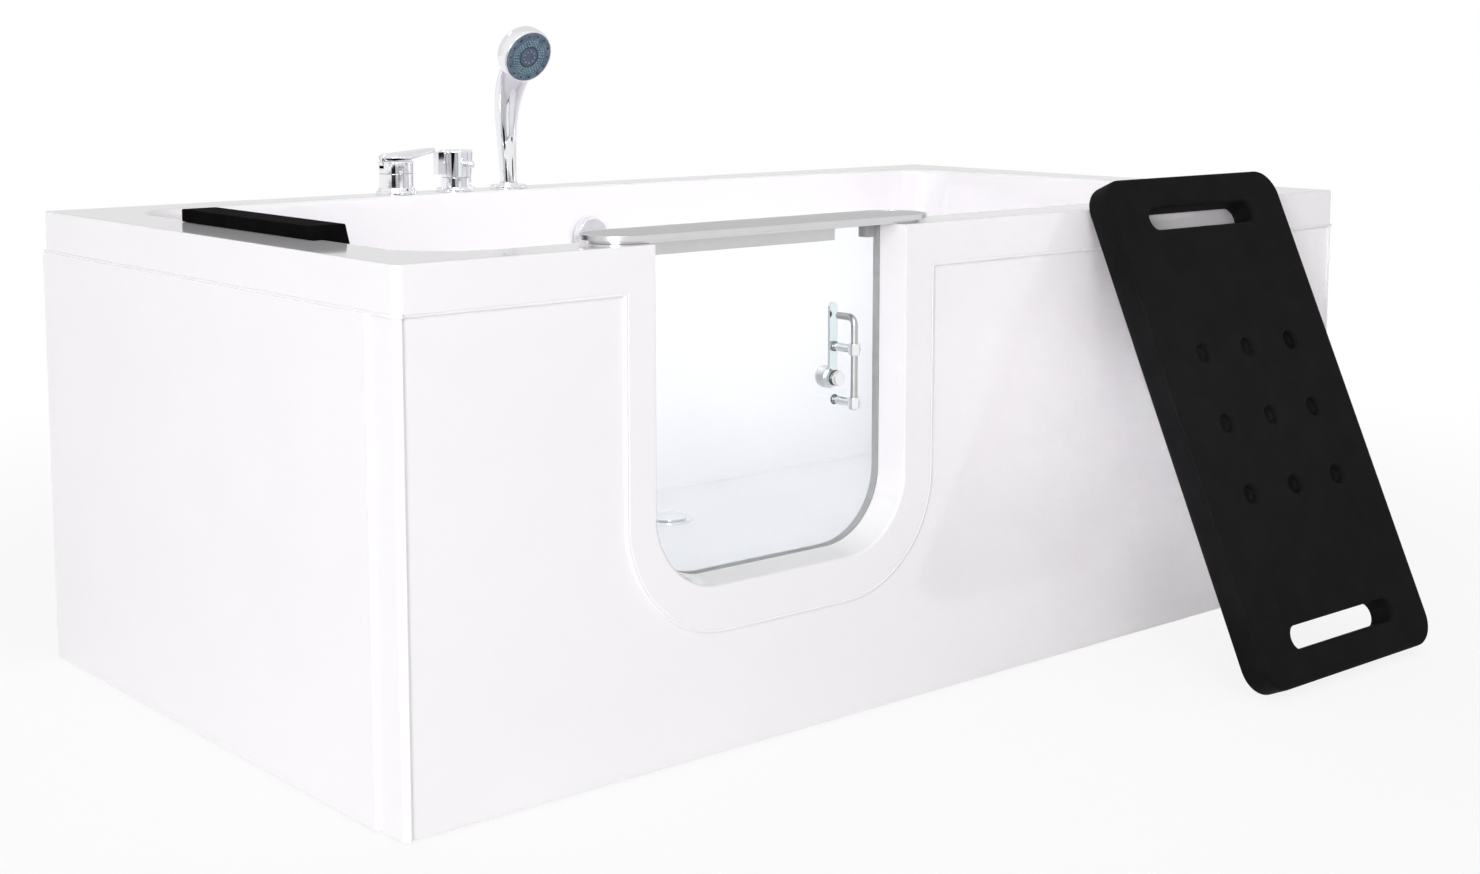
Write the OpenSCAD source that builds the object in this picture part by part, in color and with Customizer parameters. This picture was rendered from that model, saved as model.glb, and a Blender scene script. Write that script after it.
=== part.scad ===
// Walk-in bathtub with an inward-opening glass door, deck taps, a pillow and a bath board.
// X runs along the bath (head end at -X), Y from the apron (-Y) to the wall side (+Y), Z is up.
// The origin is the middle of the footprint, on the floor. Millimetres.

/* [Tub] */
// Length over the rim
tub_l = 1700; // [1660:5:1760]
// Width over the rim
tub_w = 920; // [900:5:960]
// Height of the rim above the floor
rim_h = 630; // [626:1:640]
// Thickness of the moulded shell
shell_t = 6; // [5:0.5:7]
// Depth of the band that hangs from the rim
band_h = 55; // [45:1:60]
// Inside floor of the basin above the ground
floor_h = 115; // [113:1:120]
// Rounding where the rim turns down into the basin
lip_r = 8; // [6:1:10]

/* [Basin] */
// Rim width at the head end
rim_head = 88; // [84:1:96]
// Rim width at the foot end
rim_foot = 88; // [84:1:96]
// Rim width at the front
rim_front = 80; // [78:1:84]
// Rim width at the back, where the taps stand
rim_back = 75; // [74:1:78]
// How far the backrest slopes in from rim to floor
backrest_run = 202; // [180:1:215]
// How far the foot end slopes in
foot_run = 60; // [40:1:70]
// How far the long walls slope in
side_run = 19; // [14:1:22]
// Lean of the long walls past the crease, at the foot end of the rim
crease_lean = 22; // [14:1:26]
// Crease position along the bath at rim level
crease_x = 282; // [260:2:320]
// Corner radius of the basin in plan
corner_r = 86; // [76:1:96]

/* [Doorway] */
// Left edge of the clear doorway
door_left = -504; // [-506:1:-502]
// Width of the clear doorway
door_w = 407; // [400:1:412]
// Height of the doorway sill above the ground
sill_h = 212; // [206:1:218]
// Corner radius at the foot of the doorway
door_r = 100; // [90:1:110]
// Width of the raised moulding round the doorway, left
frame_left = 42; // [38:1:46]
// Width of the raised moulding, right
frame_right = 50; // [46:1:54]
// Width of the raised moulding below the sill
frame_foot = 56; // [50:1:60]
// Thickness of the moulding, from its face to the sealing ledge
frame_t = 42; // [40:1:44]
// Draft of the doorway from the front face to the sealing ledge
door_draft = 7.5; // [6:0.5:9]

/* [Door leaf] */
// Thickness of the glass
glass_t = 8; // [6:1:8]
// Overlap of the glass past the doorway, left, right and bottom
glass_lap = 16; // [14:0.5:18]
// How far the door seal stands into the doorway
seal_lip = 0.5; // [0:0.5:2]
// Thickness of the door seal
seal_t = 11; // [10.5:0.5:11.5]
// Hinge rod radius
rod_r = 5; // [4:0.5:5.5]
// Running clearance of the hinge and the latch
running = 0.05; // [0.03:0.01:0.08]
// Diameter of the pull bar
bar_d = 9; // [8:0.5:10]
// Height of the latch spindle above the ground
latch_z = 432; // [424:1:440]
// Reach of the latch arm
arm_l = 98; // [96:1:99]

/* [Cap rail] */
// Width of the cap rail over the doorway
cap_w = 96; // [92:1:100]
// Thickness of the cap plate
cap_t = 5; // [4:0.5:6]

/* [Taps] */
// Mixer position along the deck
mixer_x = -312; // [-316:1:-308]
// Diverter position along the deck
diverter_x = -204; // [-206:1:-200]
// Hand shower position along the deck
shower_x = -106; // [-112:1:-96]
// Hand shower head diameter
head_d = 84; // [76:1:92]
// Downward tilt of the hand shower face, degrees
head_tilt = 22; // [16:1:28]

/* [Waste] */
// Drain position along the bath
drain_x = 22; // [10:1:40]
// Drain position across the bath
drain_y = 180; // [172:1:190]
// Overflow knob diameter
knob_d = 66; // [60:1:70]
// Depth of the overflow below the rim
overflow_drop = 82; // [74:1:94]

/* [Bath board] */
// Board width
board_w = 394; // [380:2:410]
// Board length
board_l = 722; // [716:2:740]
// Board thickness
board_t = 38; // [32:1:42]
// Lean of the board from upright, degrees
board_lean = 24.8; // [24.8:0.1:28]
// Middle of the board in from the foot end
board_in = 398; // [390:2:420]
// Grip slot length
slot_l = 234; // [200:2:250]
// Grip slot height
slot_h = 32; // [26:1:36]

/* [Pillow] */
// Pillow width across the bath
pillow_w = 400; // [340:5:440]
// Pillow thickness
pillow_t = 30; // [24:1:34]
// How far the pillow hangs below the rim
pillow_drop = 85; // [75:5:95]

/* [Panels] */
// Apron and end panel thickness
panel_t = 5; // [4:0.5:5]
// How far the apron field lies behind the raised moulding
field_set = 4; // [3:0.5:5]
// Gap under the panels
kick = 3; // [2:0.5:8]
// Joint gap between panels
joint_gap = 0.5; // [0.3:0.1:1]

/* [Hidden] */
$fn = 48;

acrylic = [0.95, 0.95, 0.96];
satin = [0.72, 0.73, 0.75];
bright = [0.82, 0.83, 0.85];
black = [0.10, 0.10, 0.11];
steel = [0.55, 0.57, 0.60];

x0 = -tub_l / 2;
x1 = tub_l / 2;
y0 = -tub_w / 2;
y1 = tub_w / 2;
band_z = rim_h - band_h;
slab_z = rim_h - shell_t;

// Basin walls at the rim
head_x = x0 + rim_head;
foot_x = x1 - rim_foot;
front_y = y0 + rim_front;
back_y = y1 - rim_back;
// The walls are upright from just under the lip to here, so that the overflow seats flat
upright_z = rim_h - 150;
wall_top = rim_h - 12;
floor_r = 12;
wall_foot = floor_h + floor_r;

// Doorway
door_right = door_left + door_w;
frame_x0 = door_left - frame_left;
frame_x1 = door_right + frame_right;
frame_z0 = sill_h - frame_foot;
ledge_y = y0 + frame_t;
frame_r = door_r + 50;
lid_gap = 4;
// Recess behind the doorway that the leaf lies in
pocket_x0 = frame_x0 - 4;
pocket_x1 = frame_x1 - 9;
pocket_z0 = sill_h - 34;
pocket_r = door_r - 20;
// The doorway where it meets the sealing ledge
inner_x0 = door_left + door_draft;
inner_x1 = door_right - door_draft;
inner_z0 = sill_h + door_draft;

// Leaf
seal_gap = 0.3;
glass_y0 = ledge_y + seal_gap + seal_t;
glass_y1 = glass_y0 + glass_t;
glass_x0 = door_left - glass_lap;
glass_x1 = door_right + glass_lap - 1;
glass_z0 = sill_h - glass_lap;
glass_r = door_r + 5;
leaf_top = rim_h - 1;
glass_z1 = leaf_top - 2.5;
hinge_x = glass_x0 - 10;
hinge_y = glass_y0 + glass_t / 2;
barrel_r = rod_r + 3;
stile_z0 = 302.5;
stile_z1 = rim_h - 21.3;
flange_t = 4;
bracket_gap = 0.3;
bracket_h = 18;
rod_head_t = 1.4;
bore_r = rod_r + running;
snug = 0.02;

// Latch
latch_x = door_right - 69;
spindle_r = 5;
bush_r = 7;
collar_r = 10;
collar_in = 1.6;
collar_out = 2;
arm_gap = 0.4;
arm_t = 4;
arm_w = 14;
arm_y = glass_y1 + collar_in + arm_gap;
knob_y = arm_y + arm_t;
hook_gap = 0.5;
keeper_x0 = glass_x1 + 3;
keeper_w = 17;
keeper_foot_t = 3;
hook_y = arm_y + arm_t + hook_gap;
hook_t = 5;
post_h = 13;
post_z0 = latch_z - arm_w / 2 - 7 - post_h;

// Pull bar
bar_r = bar_d / 2;
bar_y = y0 + 23;
bar_z0 = latch_z - 37;
bar_bend = 10;
bar_z1 = latch_z + 81.5;
clamp_zs = [latch_z - 28, latch_z + 41];
clamp_r = 7.5;
clamp_h = 14.6;
standoff_r = 5.5;
bolt_r = 3;
disc_t = 1.4;

// Cap
cap_x0 = hinge_x - 34;
cap_x1 = frame_x1 + 19;
cap_y = y0 + 4 + cap_w / 2;
trim_w = 4;
trim_web = 1;
trim_in = 18;
foot_in = 10;
plate_z = rim_h + lid_gap + trim_web;
trim_z1 = plate_z + cap_t + 0.4;

// Deck
deck_y = (y1 - 76 / 2);
shank_r = 16;
shank_z = slab_z - 34;
nut_t = 10;
tail_r = 7.5;
tail_dx = 14;
tail_y = deck_y - 8;
tail_z = rim_h - 130;
pipe_y = deck_y + 9;
pipe_r = 5;
link_z = rim_h - 70;

// Overflow and waste
overflow_z = rim_h - overflow_drop;
sleeve_r = 21.7;
wall_hole_r = 22;
shaft_r = 5;
plate_t = 6;
elbow_r = 28;
elbow_y0 = back_y + shell_t;
elbow_y1 = elbow_y0 + 44;
down_y = elbow_y0 + 22;
down_r = 20;
low_z = 45;
drain_r = 26;
throat_r = 22;
flange_r = 38;
waste_r = 28;
trap_x = drain_x + 88;
trap_r = 32;
trap_pipe_r = 16;
trap_z = 42;
tail_end_y = y1 - 5;
spigot_l = 45;

// Frame
rail = 30;
rail_wall = 2.5;
rail_z = 63;
board_under_t = 16;
rail_y = 250;
cross_xs = [frame_x0 - 74, crease_x + 18, x1 - 210];
cross_y = y1 - 15;
end_x = x1 - 40;
post_w = 20;
foot_y = cross_y - 45;
end_post_y = 300;
clip_w = 24;
clip_t = 16;
clip_z = 40;
end_clip_y = 260;
end_clip_z = 68;
pad_r = 22;
pad_t = 8;
stud_r = 6;
stud_over = 14;
stud_over_mid = 20;

// The board leans on the front edge of the rim, and a shorter one with its end on the front
board_x = x1 - board_in;
board_reach = min(rim_h / cos(board_lean), board_l);
board_y = y0 - board_reach * sin(board_lean) - 0.7;

// Profile functions of the basin: how far each wall has come in at height z
function ramp(z) = max(0, min(1, (wall_top - z) / (wall_top - wall_foot)));
function side_in(z) = side_run * pow(max(0, min(1, (upright_z - z) / (upright_z - wall_foot))), 1.4);
function head_in(z) = backrest_run * ramp(z) * (0.72 + 0.28 * ramp(z));
function foot_in(z) = foot_run * ramp(z);
function lean_in(z) = crease_lean * (1 - ramp(z));
function crease_at(z) = crease_x + 38 * ramp(z);
function corner_pts(cx, cy, r, a) = [for (i = [0:9]) [cx + r * cos(a + i * 10), cy + r * sin(a + i * 10)]];

// One level outline of the basin, grown outwards by g
function outline(z, g) =
  let (
    xa = head_x + head_in(z) - g,
    xb = foot_x - foot_in(z) + g,
    ya = front_y + side_in(z) - g,
    yb = back_y - side_in(z) + g,
    ln = lean_in(z),
    cr = crease_at(z),
    r = max(corner_r + g, 20)
  )
  concat(
    corner_pts(xb - r, ya + ln + r, r, -90),
    corner_pts(xb - r, yb - ln - r, r, 0),
    [[cr, yb]],
    corner_pts(xa + r, yb - r, r, 90),
    corner_pts(xa + r, ya + r, r, 180),
    [[cr, ya]]
  );

// Closed solid through a stack of [height, growth] levels
module loft(levels) {
  rings = [for (l = levels) [for (p = outline(l[0], l[1])) [p[0], p[1], l[0]]]];
  n = len(rings[0]);
  m = len(rings);
  pts = [for (r = rings) for (p = r) p];
  // The end caps fan out from the middle of a corner, so no triangle there is flat
  mid = 5;
  sides = [for (k = [0:m - 2]) for (i = [0:n - 1])
    let (a = k * n + i, b = k * n + (i + 1) % n)
    each [[a, b + n, a + n], [a, b, b + n]]];
  top = [for (i = [1:n - 2]) [mid, (mid + i + 1) % n, (mid + i) % n]];
  bottom = [for (t = top) [for (v = [t[0], t[2], t[1]]) v + (m - 1) * n]];
  polyhedron(points = pts, faces = concat(sides, bottom, top), convexity = 6);
}

// Quarter rounds at the lip and round the floor
lip_levels = concat(
  [[rim_h + 1, lip_r]],
  [for (t = [0:22.5:90]) [rim_h - lip_r * (1 - cos(t)), lip_r * (1 - sin(t))]]
);
wall_levels = concat(
  [[wall_top, 0]],
  [for (k = [0, 0.22, 0.46, 0.66, 0.84, 1]) [upright_z - (upright_z - wall_foot) * k, 0]]
);
floor_levels = [for (t = [22.5:22.5:90]) [floor_h + floor_r * (1 - sin(t)), -floor_r * (1 - cos(t))]];
module basin_hollow() { loft(concat(lip_levels, wall_levels, floor_levels)); }
module basin_body() {
  loft(concat(
    [[rim_h - 3, lip_r + shell_t]],
    [[rim_h - lip_r - 3, shell_t]],
    [for (l = wall_levels) [l[0], shell_t]],
    [[floor_h + 1, shell_t - 2], [floor_h - shell_t, shell_t - floor_r]]
  ));
}

// A flat shape drawn in X and Z, standing between two depths
module upright_plate(ya, yb) {
  translate([0, yb, 0]) rotate([90, 0, 0]) linear_extrude(yb - ya) children();
}

// Rectangle with round lower corners
module u_shape(xa, xb, za, zb, r) {
  union() {
    translate([xa, za + r]) square([xb - xa, zb - za - r]);
    translate([xa + r, za]) square([xb - xa - 2 * r, r + 1]);
    translate([xa + r, za + r]) circle(r);
    translate([xb - r, za + r]) circle(r);
  }
}

module rounded_rect(w, h, r) {
  union() {
    translate([-w / 2 + r, -h / 2]) square([w - 2 * r, h]);
    translate([-w / 2, -h / 2 + r]) square([w, h - 2 * r]);
    for (sx = [-1, 1]) for (sy = [-1, 1])
      translate([sx * (w / 2 - r), sy * (h / 2 - r)]) circle(r);
  }
}

// Rod along Y from ya to yb
module y_rod(x, z, r, ya, yb) {
  translate([x, ya, z]) rotate([-90, 0, 0]) cylinder(h = yb - ya, r = r);
}

module z_rod(x, y, r, za, zb) {
  translate([x, y, za]) cylinder(h = zb - za, r = r);
}

module x_rod(y, z, r, xa, xb) {
  translate([xa, y, z]) rotate([0, 90, 0]) cylinder(h = xb - xa, r = r);
}

module box(a, b) {
  translate(a) cube(b - a);
}

// ---------- Shell ----------
module rim_slab() {
  r = 10;
  translate([0, 0, slab_z]) linear_extrude(shell_t) rounded_rect(tub_l, tub_w, r);
  difference() {
    translate([0, 0, band_z]) linear_extrude(band_h - 1) rounded_rect(tub_l, tub_w, r);
    translate([0, 0, band_z - 1]) linear_extrude(band_h)
      rounded_rect(tub_l - 2 * shell_t, tub_w - 2 * shell_t, r - shell_t);
  }
}

// Outline of the recess, grown by g, up to height z1
module pocket_shape(g, z1) {
  u_shape(pocket_x0 - g, pocket_x1 + g, pocket_z0 - g, z1, pocket_r + g);
}
module pocket_wall(z1) { pocket_shape(shell_t, z1); }

// Clear outline where the doorway meets the sealing ledge, drawn in by g
module inner_shape(g, z1) {
  u_shape(inner_x0 + g, inner_x1 - g, inner_z0 + g, z1, door_r - door_draft - g);
}

module surround_block(xg, z1) {
  u_shape(frame_x0 - xg, frame_x1 + xg, frame_z0 - xg, z1, frame_r + xg);
}

module tub_shell() {
  color(acrylic) difference() {
    union() {
      difference() {
        union() {
          rim_slab();
          basin_body();
        }
        basin_hollow();
      }
      difference() {
        upright_plate(ledge_y, front_y + 1) pocket_wall(slab_z + 1);
        basin_hollow();
      }
    }
    upright_plate(ledge_y - 1, front_y + 40) pocket_shape(0, rim_h + 5);
    upright_plate(y0 - 1, ledge_y) surround_block(0, rim_h + 5);
    for (x = [mixer_x, diverter_x, shower_x]) z_rod(x, deck_y, shank_r + 0.3, slab_z - 5, rim_h + 5);
    y_rod(drain_x, overflow_z, wall_hole_r, back_y - 20, back_y + 20);
    z_rod(drain_x, drain_y, drain_r, floor_h - 20, floor_h + 20);
  }
}

// The doorway narrows from the front face to the ledge
module doorway_cut() {
  hull($fn = 64) {
    upright_plate(y0 - 1, y0 - 0.5) u_shape(door_left, door_right, sill_h, rim_h + 5, door_r);
    upright_plate(ledge_y, ledge_y + 0.5) inner_shape(0, rim_h + 5);
  }
}

module door_surround() {
  color(acrylic) difference() {
    union() {
      upright_plate(y0, ledge_y) surround_block(0, rim_h);
      upright_plate(ledge_y - shell_t, ledge_y) pocket_wall(slab_z);
    }
    doorway_cut();
    bracket_holes();
    keeper_holes();
  }
}

// ---------- Panels ----------
module apron_side(s) {
  xo = s * x1;
  xi = s * (x1 - 8);
  box([min(xo, xi), y0 + 8, kick], [max(xo, xi), y0 + 55, band_z - joint_gap]);
  intersection() {
    translate([s * (x1 - 8), y0 + 8, kick]) cylinder(h = band_z - joint_gap - kick, r = 8);
    box([min(xo, xi), y0, kick], [max(xo, xi), y0 + 8, band_z - joint_gap]);
  }
}

module front_apron() {
  color(acrylic) difference() {
    union() {
      box([x0 + 7, y0 + field_set, kick], [x1 - 7, y0 + field_set + panel_t, band_z - joint_gap]);
      apron_side(-1);
      apron_side(1);
    }
    upright_plate(y0 - 5, y0 + 20) surround_block(joint_gap, rim_h);
  }
}

module end_panel(s) {
  xa = s * x1;
  xb = s * (x1 + panel_t);
  xc = s * (x1 - 20);
  ya = y0 + 55 + joint_gap;
  yb = y1 - 5;
  color(acrylic) union() {
    box([min(xa, xb), ya, kick], [max(xa, xb), yb, band_z - joint_gap]);
    box([min(xa, xc), ya, kick], [max(xa, xc), ya + panel_t, band_z - joint_gap]);
    box([min(xa, xc), yb - panel_t, kick], [max(xa, xc), yb, band_z - joint_gap]);
  }
}
module left_end_panel() { end_panel(-1); }
module right_end_panel() { end_panel(1); }

// ---------- Under-frame ----------
module base_board() {
  z1 = floor_h - shell_t;
  color([0.78, 0.68, 0.52]) difference() {
    box([head_x + backrest_run + 35, front_y + side_run + 26, z1 - board_under_t],
        [foot_x - foot_run - 35, back_y - side_run - 31, z1]);
    z_rod(drain_x, drain_y, drain_r + 24, z1 - 30, z1 + 5);
  }
}

module x_tube(xa, xb, y, z) {
  h = rail / 2;
  w = h - rail_wall;
  difference() {
    box([xa, y - h, z], [xb, y + h, z + rail]);
    box([xa - 1, y - w, z + rail_wall], [xb + 1, y + w, z + rail - rail_wall]);
  }
}

module y_tube(x, ya, yb, z) {
  h = rail / 2;
  w = h - rail_wall;
  difference() {
    box([x - h, ya, z], [x + h, yb, z + rail]);
    box([x - w, ya - 1, z + rail_wall], [x + w, yb + 1, z + rail - rail_wall]);
  }
}

module long_rails() {
  color(steel) {
    for (s = [-1, 1]) x_tube(-end_x + rail / 2, end_x - rail / 2, s * rail_y, rail_z);
    difference() {
      x_tube(cross_xs[0] - rail / 2, cross_xs[2] + rail / 2, 0, rail_z);
      z_rod(0, 0, stud_r + 0.5, rail_z - 1, rail_z + rail_wall + 1);
    }
  }
}

module cross_rails() {
  color(steel) difference() {
    for (x = cross_xs) y_tube(x, -cross_y, cross_y, rail_z - rail);
    for (x = [cross_xs[0], cross_xs[2]]) for (s = [-1, 1])
      z_rod(x, s * foot_y, stud_r + 0.5, rail_z - rail - 1, rail_z + 1);
  }
}

module end_rails() {
  color(steel) for (s = [-1, 1]) y_tube(s * end_x, -cross_y + 45, cross_y - 45, rail_z);
}

module rim_uprights() {
  color(steel) {
    for (x = cross_xs) for (s = [-1, 1])
      box([x - post_w / 2, s * (cross_y - post_w / 2) - post_w / 2, rail_z],
          [x + post_w / 2, s * (cross_y - post_w / 2) + post_w / 2, slab_z]);
    for (sx = [-1, 1]) for (sy = [-1, 1])
      box([sx * end_x - post_w / 2, sy * end_post_y - post_w / 2, rail_z + rail],
          [sx * end_x + post_w / 2, sy * end_post_y + post_w / 2, slab_z]);
  }
}

foot_spots = concat([[0, 0]], [for (x = [cross_xs[0], cross_xs[2]]) for (s = [-1, 1]) [x, s * foot_y]]);
function under(p) = p[0] == 0 ? rail_z : rail_z - rail;

module foot_pads() {
  color(black) for (p = foot_spots) difference() {
    z_rod(p[0], p[1], pad_r, 0, pad_t);
    z_rod(p[0], p[1], stud_r + 0.3, pad_t / 2, pad_t + 1);
  }
}

module foot_studs() {
  color(bright) for (p = foot_spots)
    z_rod(p[0], p[1], stud_r, pad_t / 2, under(p) + (p[0] == 0 ? stud_over_mid : rail + stud_over));
}

module foot_nuts() {
  color(bright) for (p = foot_spots) difference() {
    translate([p[0], p[1], under(p) - 10]) cylinder(h = 10, r = 11, $fn = 6);
    z_rod(p[0], p[1], stud_r + snug, under(p) - 11, under(p) + 1);
  }
}

module panel_clips() {
  color(black) {
    for (x = cross_xs)
      box([x - clip_w / 2, y0 + field_set + panel_t, clip_z], [x + clip_w / 2, -cross_y, clip_z + clip_t]);
    for (sx = [-1, 1]) for (sy = [-1, 1])
      box([min(sx * x1, sx * (end_x + rail / 2)), sy * end_clip_y - clip_w / 2, end_clip_z],
          [max(sx * x1, sx * (end_x + rail / 2)), sy * end_clip_y + clip_w / 2, end_clip_z + clip_t]);
  }
}

// ---------- Cap over the doorway ----------
module cap_outline(g) {
  r = cap_w / 2 - g;
  ca = cap_x0 + cap_w / 2;
  cb = cap_x1 - cap_w / 2;
  union() {
    translate([ca, -r]) square([cb - ca, 2 * r]);
    translate([ca, 0]) circle(r);
    translate([cb, 0]) circle(r);
  }
}

module cap_ring(g0, g1, za, zb) {
  translate([0, 0, za]) linear_extrude(zb - za) difference() {
    cap_outline(g0);
    cap_outline(g1);
  }
}

// The trim stands on an inset foot, carries the plate on its web and frames it with a lip
module cap_trim() {
  color(bright) translate([0, cap_y, 0]) {
    cap_ring(foot_in, trim_in, rim_h, rim_h + lid_gap + 0.5);
    cap_ring(0, trim_in, rim_h + lid_gap, plate_z);
    cap_ring(0, trim_w, rim_h + lid_gap, trim_z1);
  }
}

module cap_rail() {
  color(satin) translate([0, cap_y, plate_z]) linear_extrude(cap_t) cap_outline(trim_w + 0.3);
}

// ---------- Hinge ----------
bracket_zs = [stile_z0 - bracket_gap - bracket_h, stile_z1 + bracket_gap];
bracket_x0 = hinge_x - 16;
screw_r = 2;
screw_l = 24;
module bracket_holes() {
  for (z = bracket_zs) for (k = [0.25, 0.75])
    y_rod(bracket_x0 + 5, z + bracket_h * k, screw_r + snug, ledge_y - screw_l, ledge_y + 40);
}

module hinge_brackets() {
  color(bright) difference() {
    for (z = bracket_zs) {
      z_rod(hinge_x, hinge_y, barrel_r, z, z + bracket_h);
      box([bracket_x0, ledge_y, z], [hinge_x, hinge_y + 7, z + bracket_h]);
    }
    z_rod(hinge_x, hinge_y, rod_r + snug, 200, rim_h);
    bracket_holes();
  }
}

module screw_y(x, z, y_head, length, head_r, head_t) {
  y_rod(x, z, screw_r, y_head - length, y_head + 0.5);
  y_rod(x, z, head_r, y_head, y_head + head_t);
}

module bracket_screws() {
  color(bright) for (z = bracket_zs) for (k = [0.25, 0.75])
    screw_y(bracket_x0 + 5, z + bracket_h * k, hinge_y + 7, hinge_y + 7 - ledge_y + screw_l - 6, 3.6, 2);
}

module hinge_rod() {
  z1 = bracket_zs[1] + bracket_h;
  color(bright) {
    z_rod(hinge_x, hinge_y, rod_r, bracket_zs[0], z1 + 0.5);
    z_rod(hinge_x, hinge_y, rod_r + 2.5, z1, z1 + rod_head_t);
  }
}

module hinge_stile() {
  color(satin) difference() {
    union() {
      z_rod(hinge_x, hinge_y, barrel_r, stile_z0, stile_z1);
      box([hinge_x, glass_y1, stile_z0], [hinge_x + 50, glass_y1 + flange_t, stile_z1]);
    }
    z_rod(hinge_x, hinge_y, bore_r, stile_z0 - 1, stile_z1 + 1);
    stile_bolts(0.05);
  }
}

stile_zs = [for (k = [0.08, 0.36, 0.64, 0.92]) stile_z0 + (stile_z1 - stile_z0) * k];
stile_bolt_x = hinge_x + 34;
module stile_bolts(g) {
  for (z = stile_zs) y_rod(stile_bolt_x, z, bolt_r + g, glass_y0 - 1, glass_y1 + flange_t + 1);
}

module stile_screws() {
  color(bright) {
    for (z = stile_zs) {
      y_rod(stile_bolt_x, z, bolt_r, glass_y0, glass_y1 + flange_t + 0.5);
      y_rod(stile_bolt_x, z, 5.5, glass_y1 + flange_t, glass_y1 + flange_t + 1.6);
    }
  }
}

// ---------- Leaf ----------
module leaf_shape() {
  u_shape(glass_x0, glass_x1, glass_z0, glass_z1, glass_r);
}

module door_glass() {
  color([0.82, 0.92, 0.96, 0.35]) difference() {
    upright_plate(glass_y0, glass_y1) leaf_shape();
    y_rod(latch_x, latch_z, bush_r, glass_y0 - 1, glass_y1 + 1);
    for (z = clamp_zs) y_rod(latch_x, z, bolt_r + 1, glass_y0 - 1, glass_y1 + 1);
    stile_bolts(0.5);
  }
}

module door_seal() {
  color(black) upright_plate(glass_y0 - seal_t, glass_y0) difference() {
    leaf_shape();
    inner_shape(seal_lip, glass_z1 + 5);
  }
}

module edge_channel(xa, xb, wall) {
  difference() {
    box([xa, glass_y0 - wall, rim_h - 19], [xb, glass_y1 + wall, leaf_top]);
    box([xa - 1, glass_y0, rim_h - 20], [xb + 1, glass_y1, glass_z1]);
  }
}
module top_channel() { color(satin) edge_channel(hinge_x + 38, latch_x - 10, 4); }
module end_block() { color(black) edge_channel(latch_x + 45, latch_x + 60, 5); }

// ---------- Latch and pull bar ----------
module spindle_bush() {
  color([0.85, 0.85, 0.85]) difference() {
    union() {
      y_rod(latch_x, latch_z, bush_r - snug, glass_y0 - 0.5, glass_y1 + 0.5);
      y_rod(latch_x, latch_z, collar_r, glass_y0 - collar_out, glass_y0);
      y_rod(latch_x, latch_z, collar_r, glass_y1, glass_y1 + collar_in);
    }
    y_rod(latch_x, latch_z, spindle_r + running, glass_y0 - 10, glass_y1 + 10);
  }
}

module latch_spindle() {
  head_y = glass_y0 - collar_out - 0.3;
  color(bright) {
    y_rod(latch_x, latch_z, spindle_r, head_y - 1, knob_y + 12);
    y_rod(latch_x, latch_z, 9, head_y - 2.3, head_y);
  }
}

module latch_arm() {
  h = arm_w / 2;
  tip_z = latch_z + arm_l - h;
  color(bright) difference() {
    union() {
      y_rod(latch_x, latch_z, 11, arm_y, arm_y + arm_t);
      box([latch_x - h, arm_y, latch_z], [latch_x + h, arm_y + arm_t, tip_z]);
      y_rod(latch_x, tip_z, h, arm_y, arm_y + arm_t);
    }
    y_rod(latch_x, latch_z, spindle_r + snug, arm_y - 1, arm_y + arm_t + 1);
  }
}

// Turned barrel with a pointed nose
module latch_knob() {
  color(bright) difference() {
    translate([latch_x, knob_y, latch_z]) rotate([-90, 0, 0]) rotate_extrude() polygon([
      [0, 0], [13.5, 0], [14.5, 1.5], [14.5, 12], [13.8, 15.5], [11.5, 18.6], [7.5, 20.6], [5.6, 22],
      [4.6, 25.5], [2.8, 28], [0, 29]
    ]);
    y_rod(latch_x, latch_z, spindle_r + snug, knob_y - 1, knob_y + 12);
  }
}

module keeper_holes() {
  for (z = [post_z0 - 4, latch_z + arm_w / 2 + 5])
    y_rod(keeper_x0 + keeper_w / 2, z, screw_r + snug, ledge_y - screw_l, ledge_y + 40);
}

module keeper() {
  z1 = latch_z + arm_w / 2 + 10;
  foot_y1 = ledge_y + keeper_foot_t;
  color(bright) difference() {
    union() {
      box([keeper_x0, ledge_y, post_z0 - 9], [keeper_x0 + keeper_w, foot_y1, z1]);
      box([keeper_x0, foot_y1 - 1, post_z0], [keeper_x0 + keeper_w, hook_y + hook_t, post_z0 + post_h]);
      box([keeper_x0, hook_y, post_z0], [keeper_x0 + keeper_w, hook_y + hook_t, z1 - 4]);
    }
    y_rod(keeper_x0 + keeper_w / 2, latch_z + arm_w / 2 + 5, 4, foot_y1 + 3, hook_y + hook_t + 1);
    keeper_holes();
  }
}

module keeper_screws() {
  color(bright) for (z = [post_z0 - 4, latch_z + arm_w / 2 + 5])
    screw_y(keeper_x0 + keeper_w / 2, z, ledge_y + keeper_foot_t, screw_l, 3.4, 1.8);
}

module pull_bar() {
  color(bright) {
    z_rod(latch_x, bar_y, bar_r, bar_z0, bar_z1 - bar_bend);
    translate([latch_x, bar_y + bar_bend, bar_z1 - bar_bend]) rotate([90, 0, -90])
      rotate_extrude(angle = 90) translate([bar_bend, 0]) circle(bar_r);
    y_rod(latch_x, bar_z1, bar_r, bar_y + bar_bend, glass_y0);
  }
}

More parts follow.
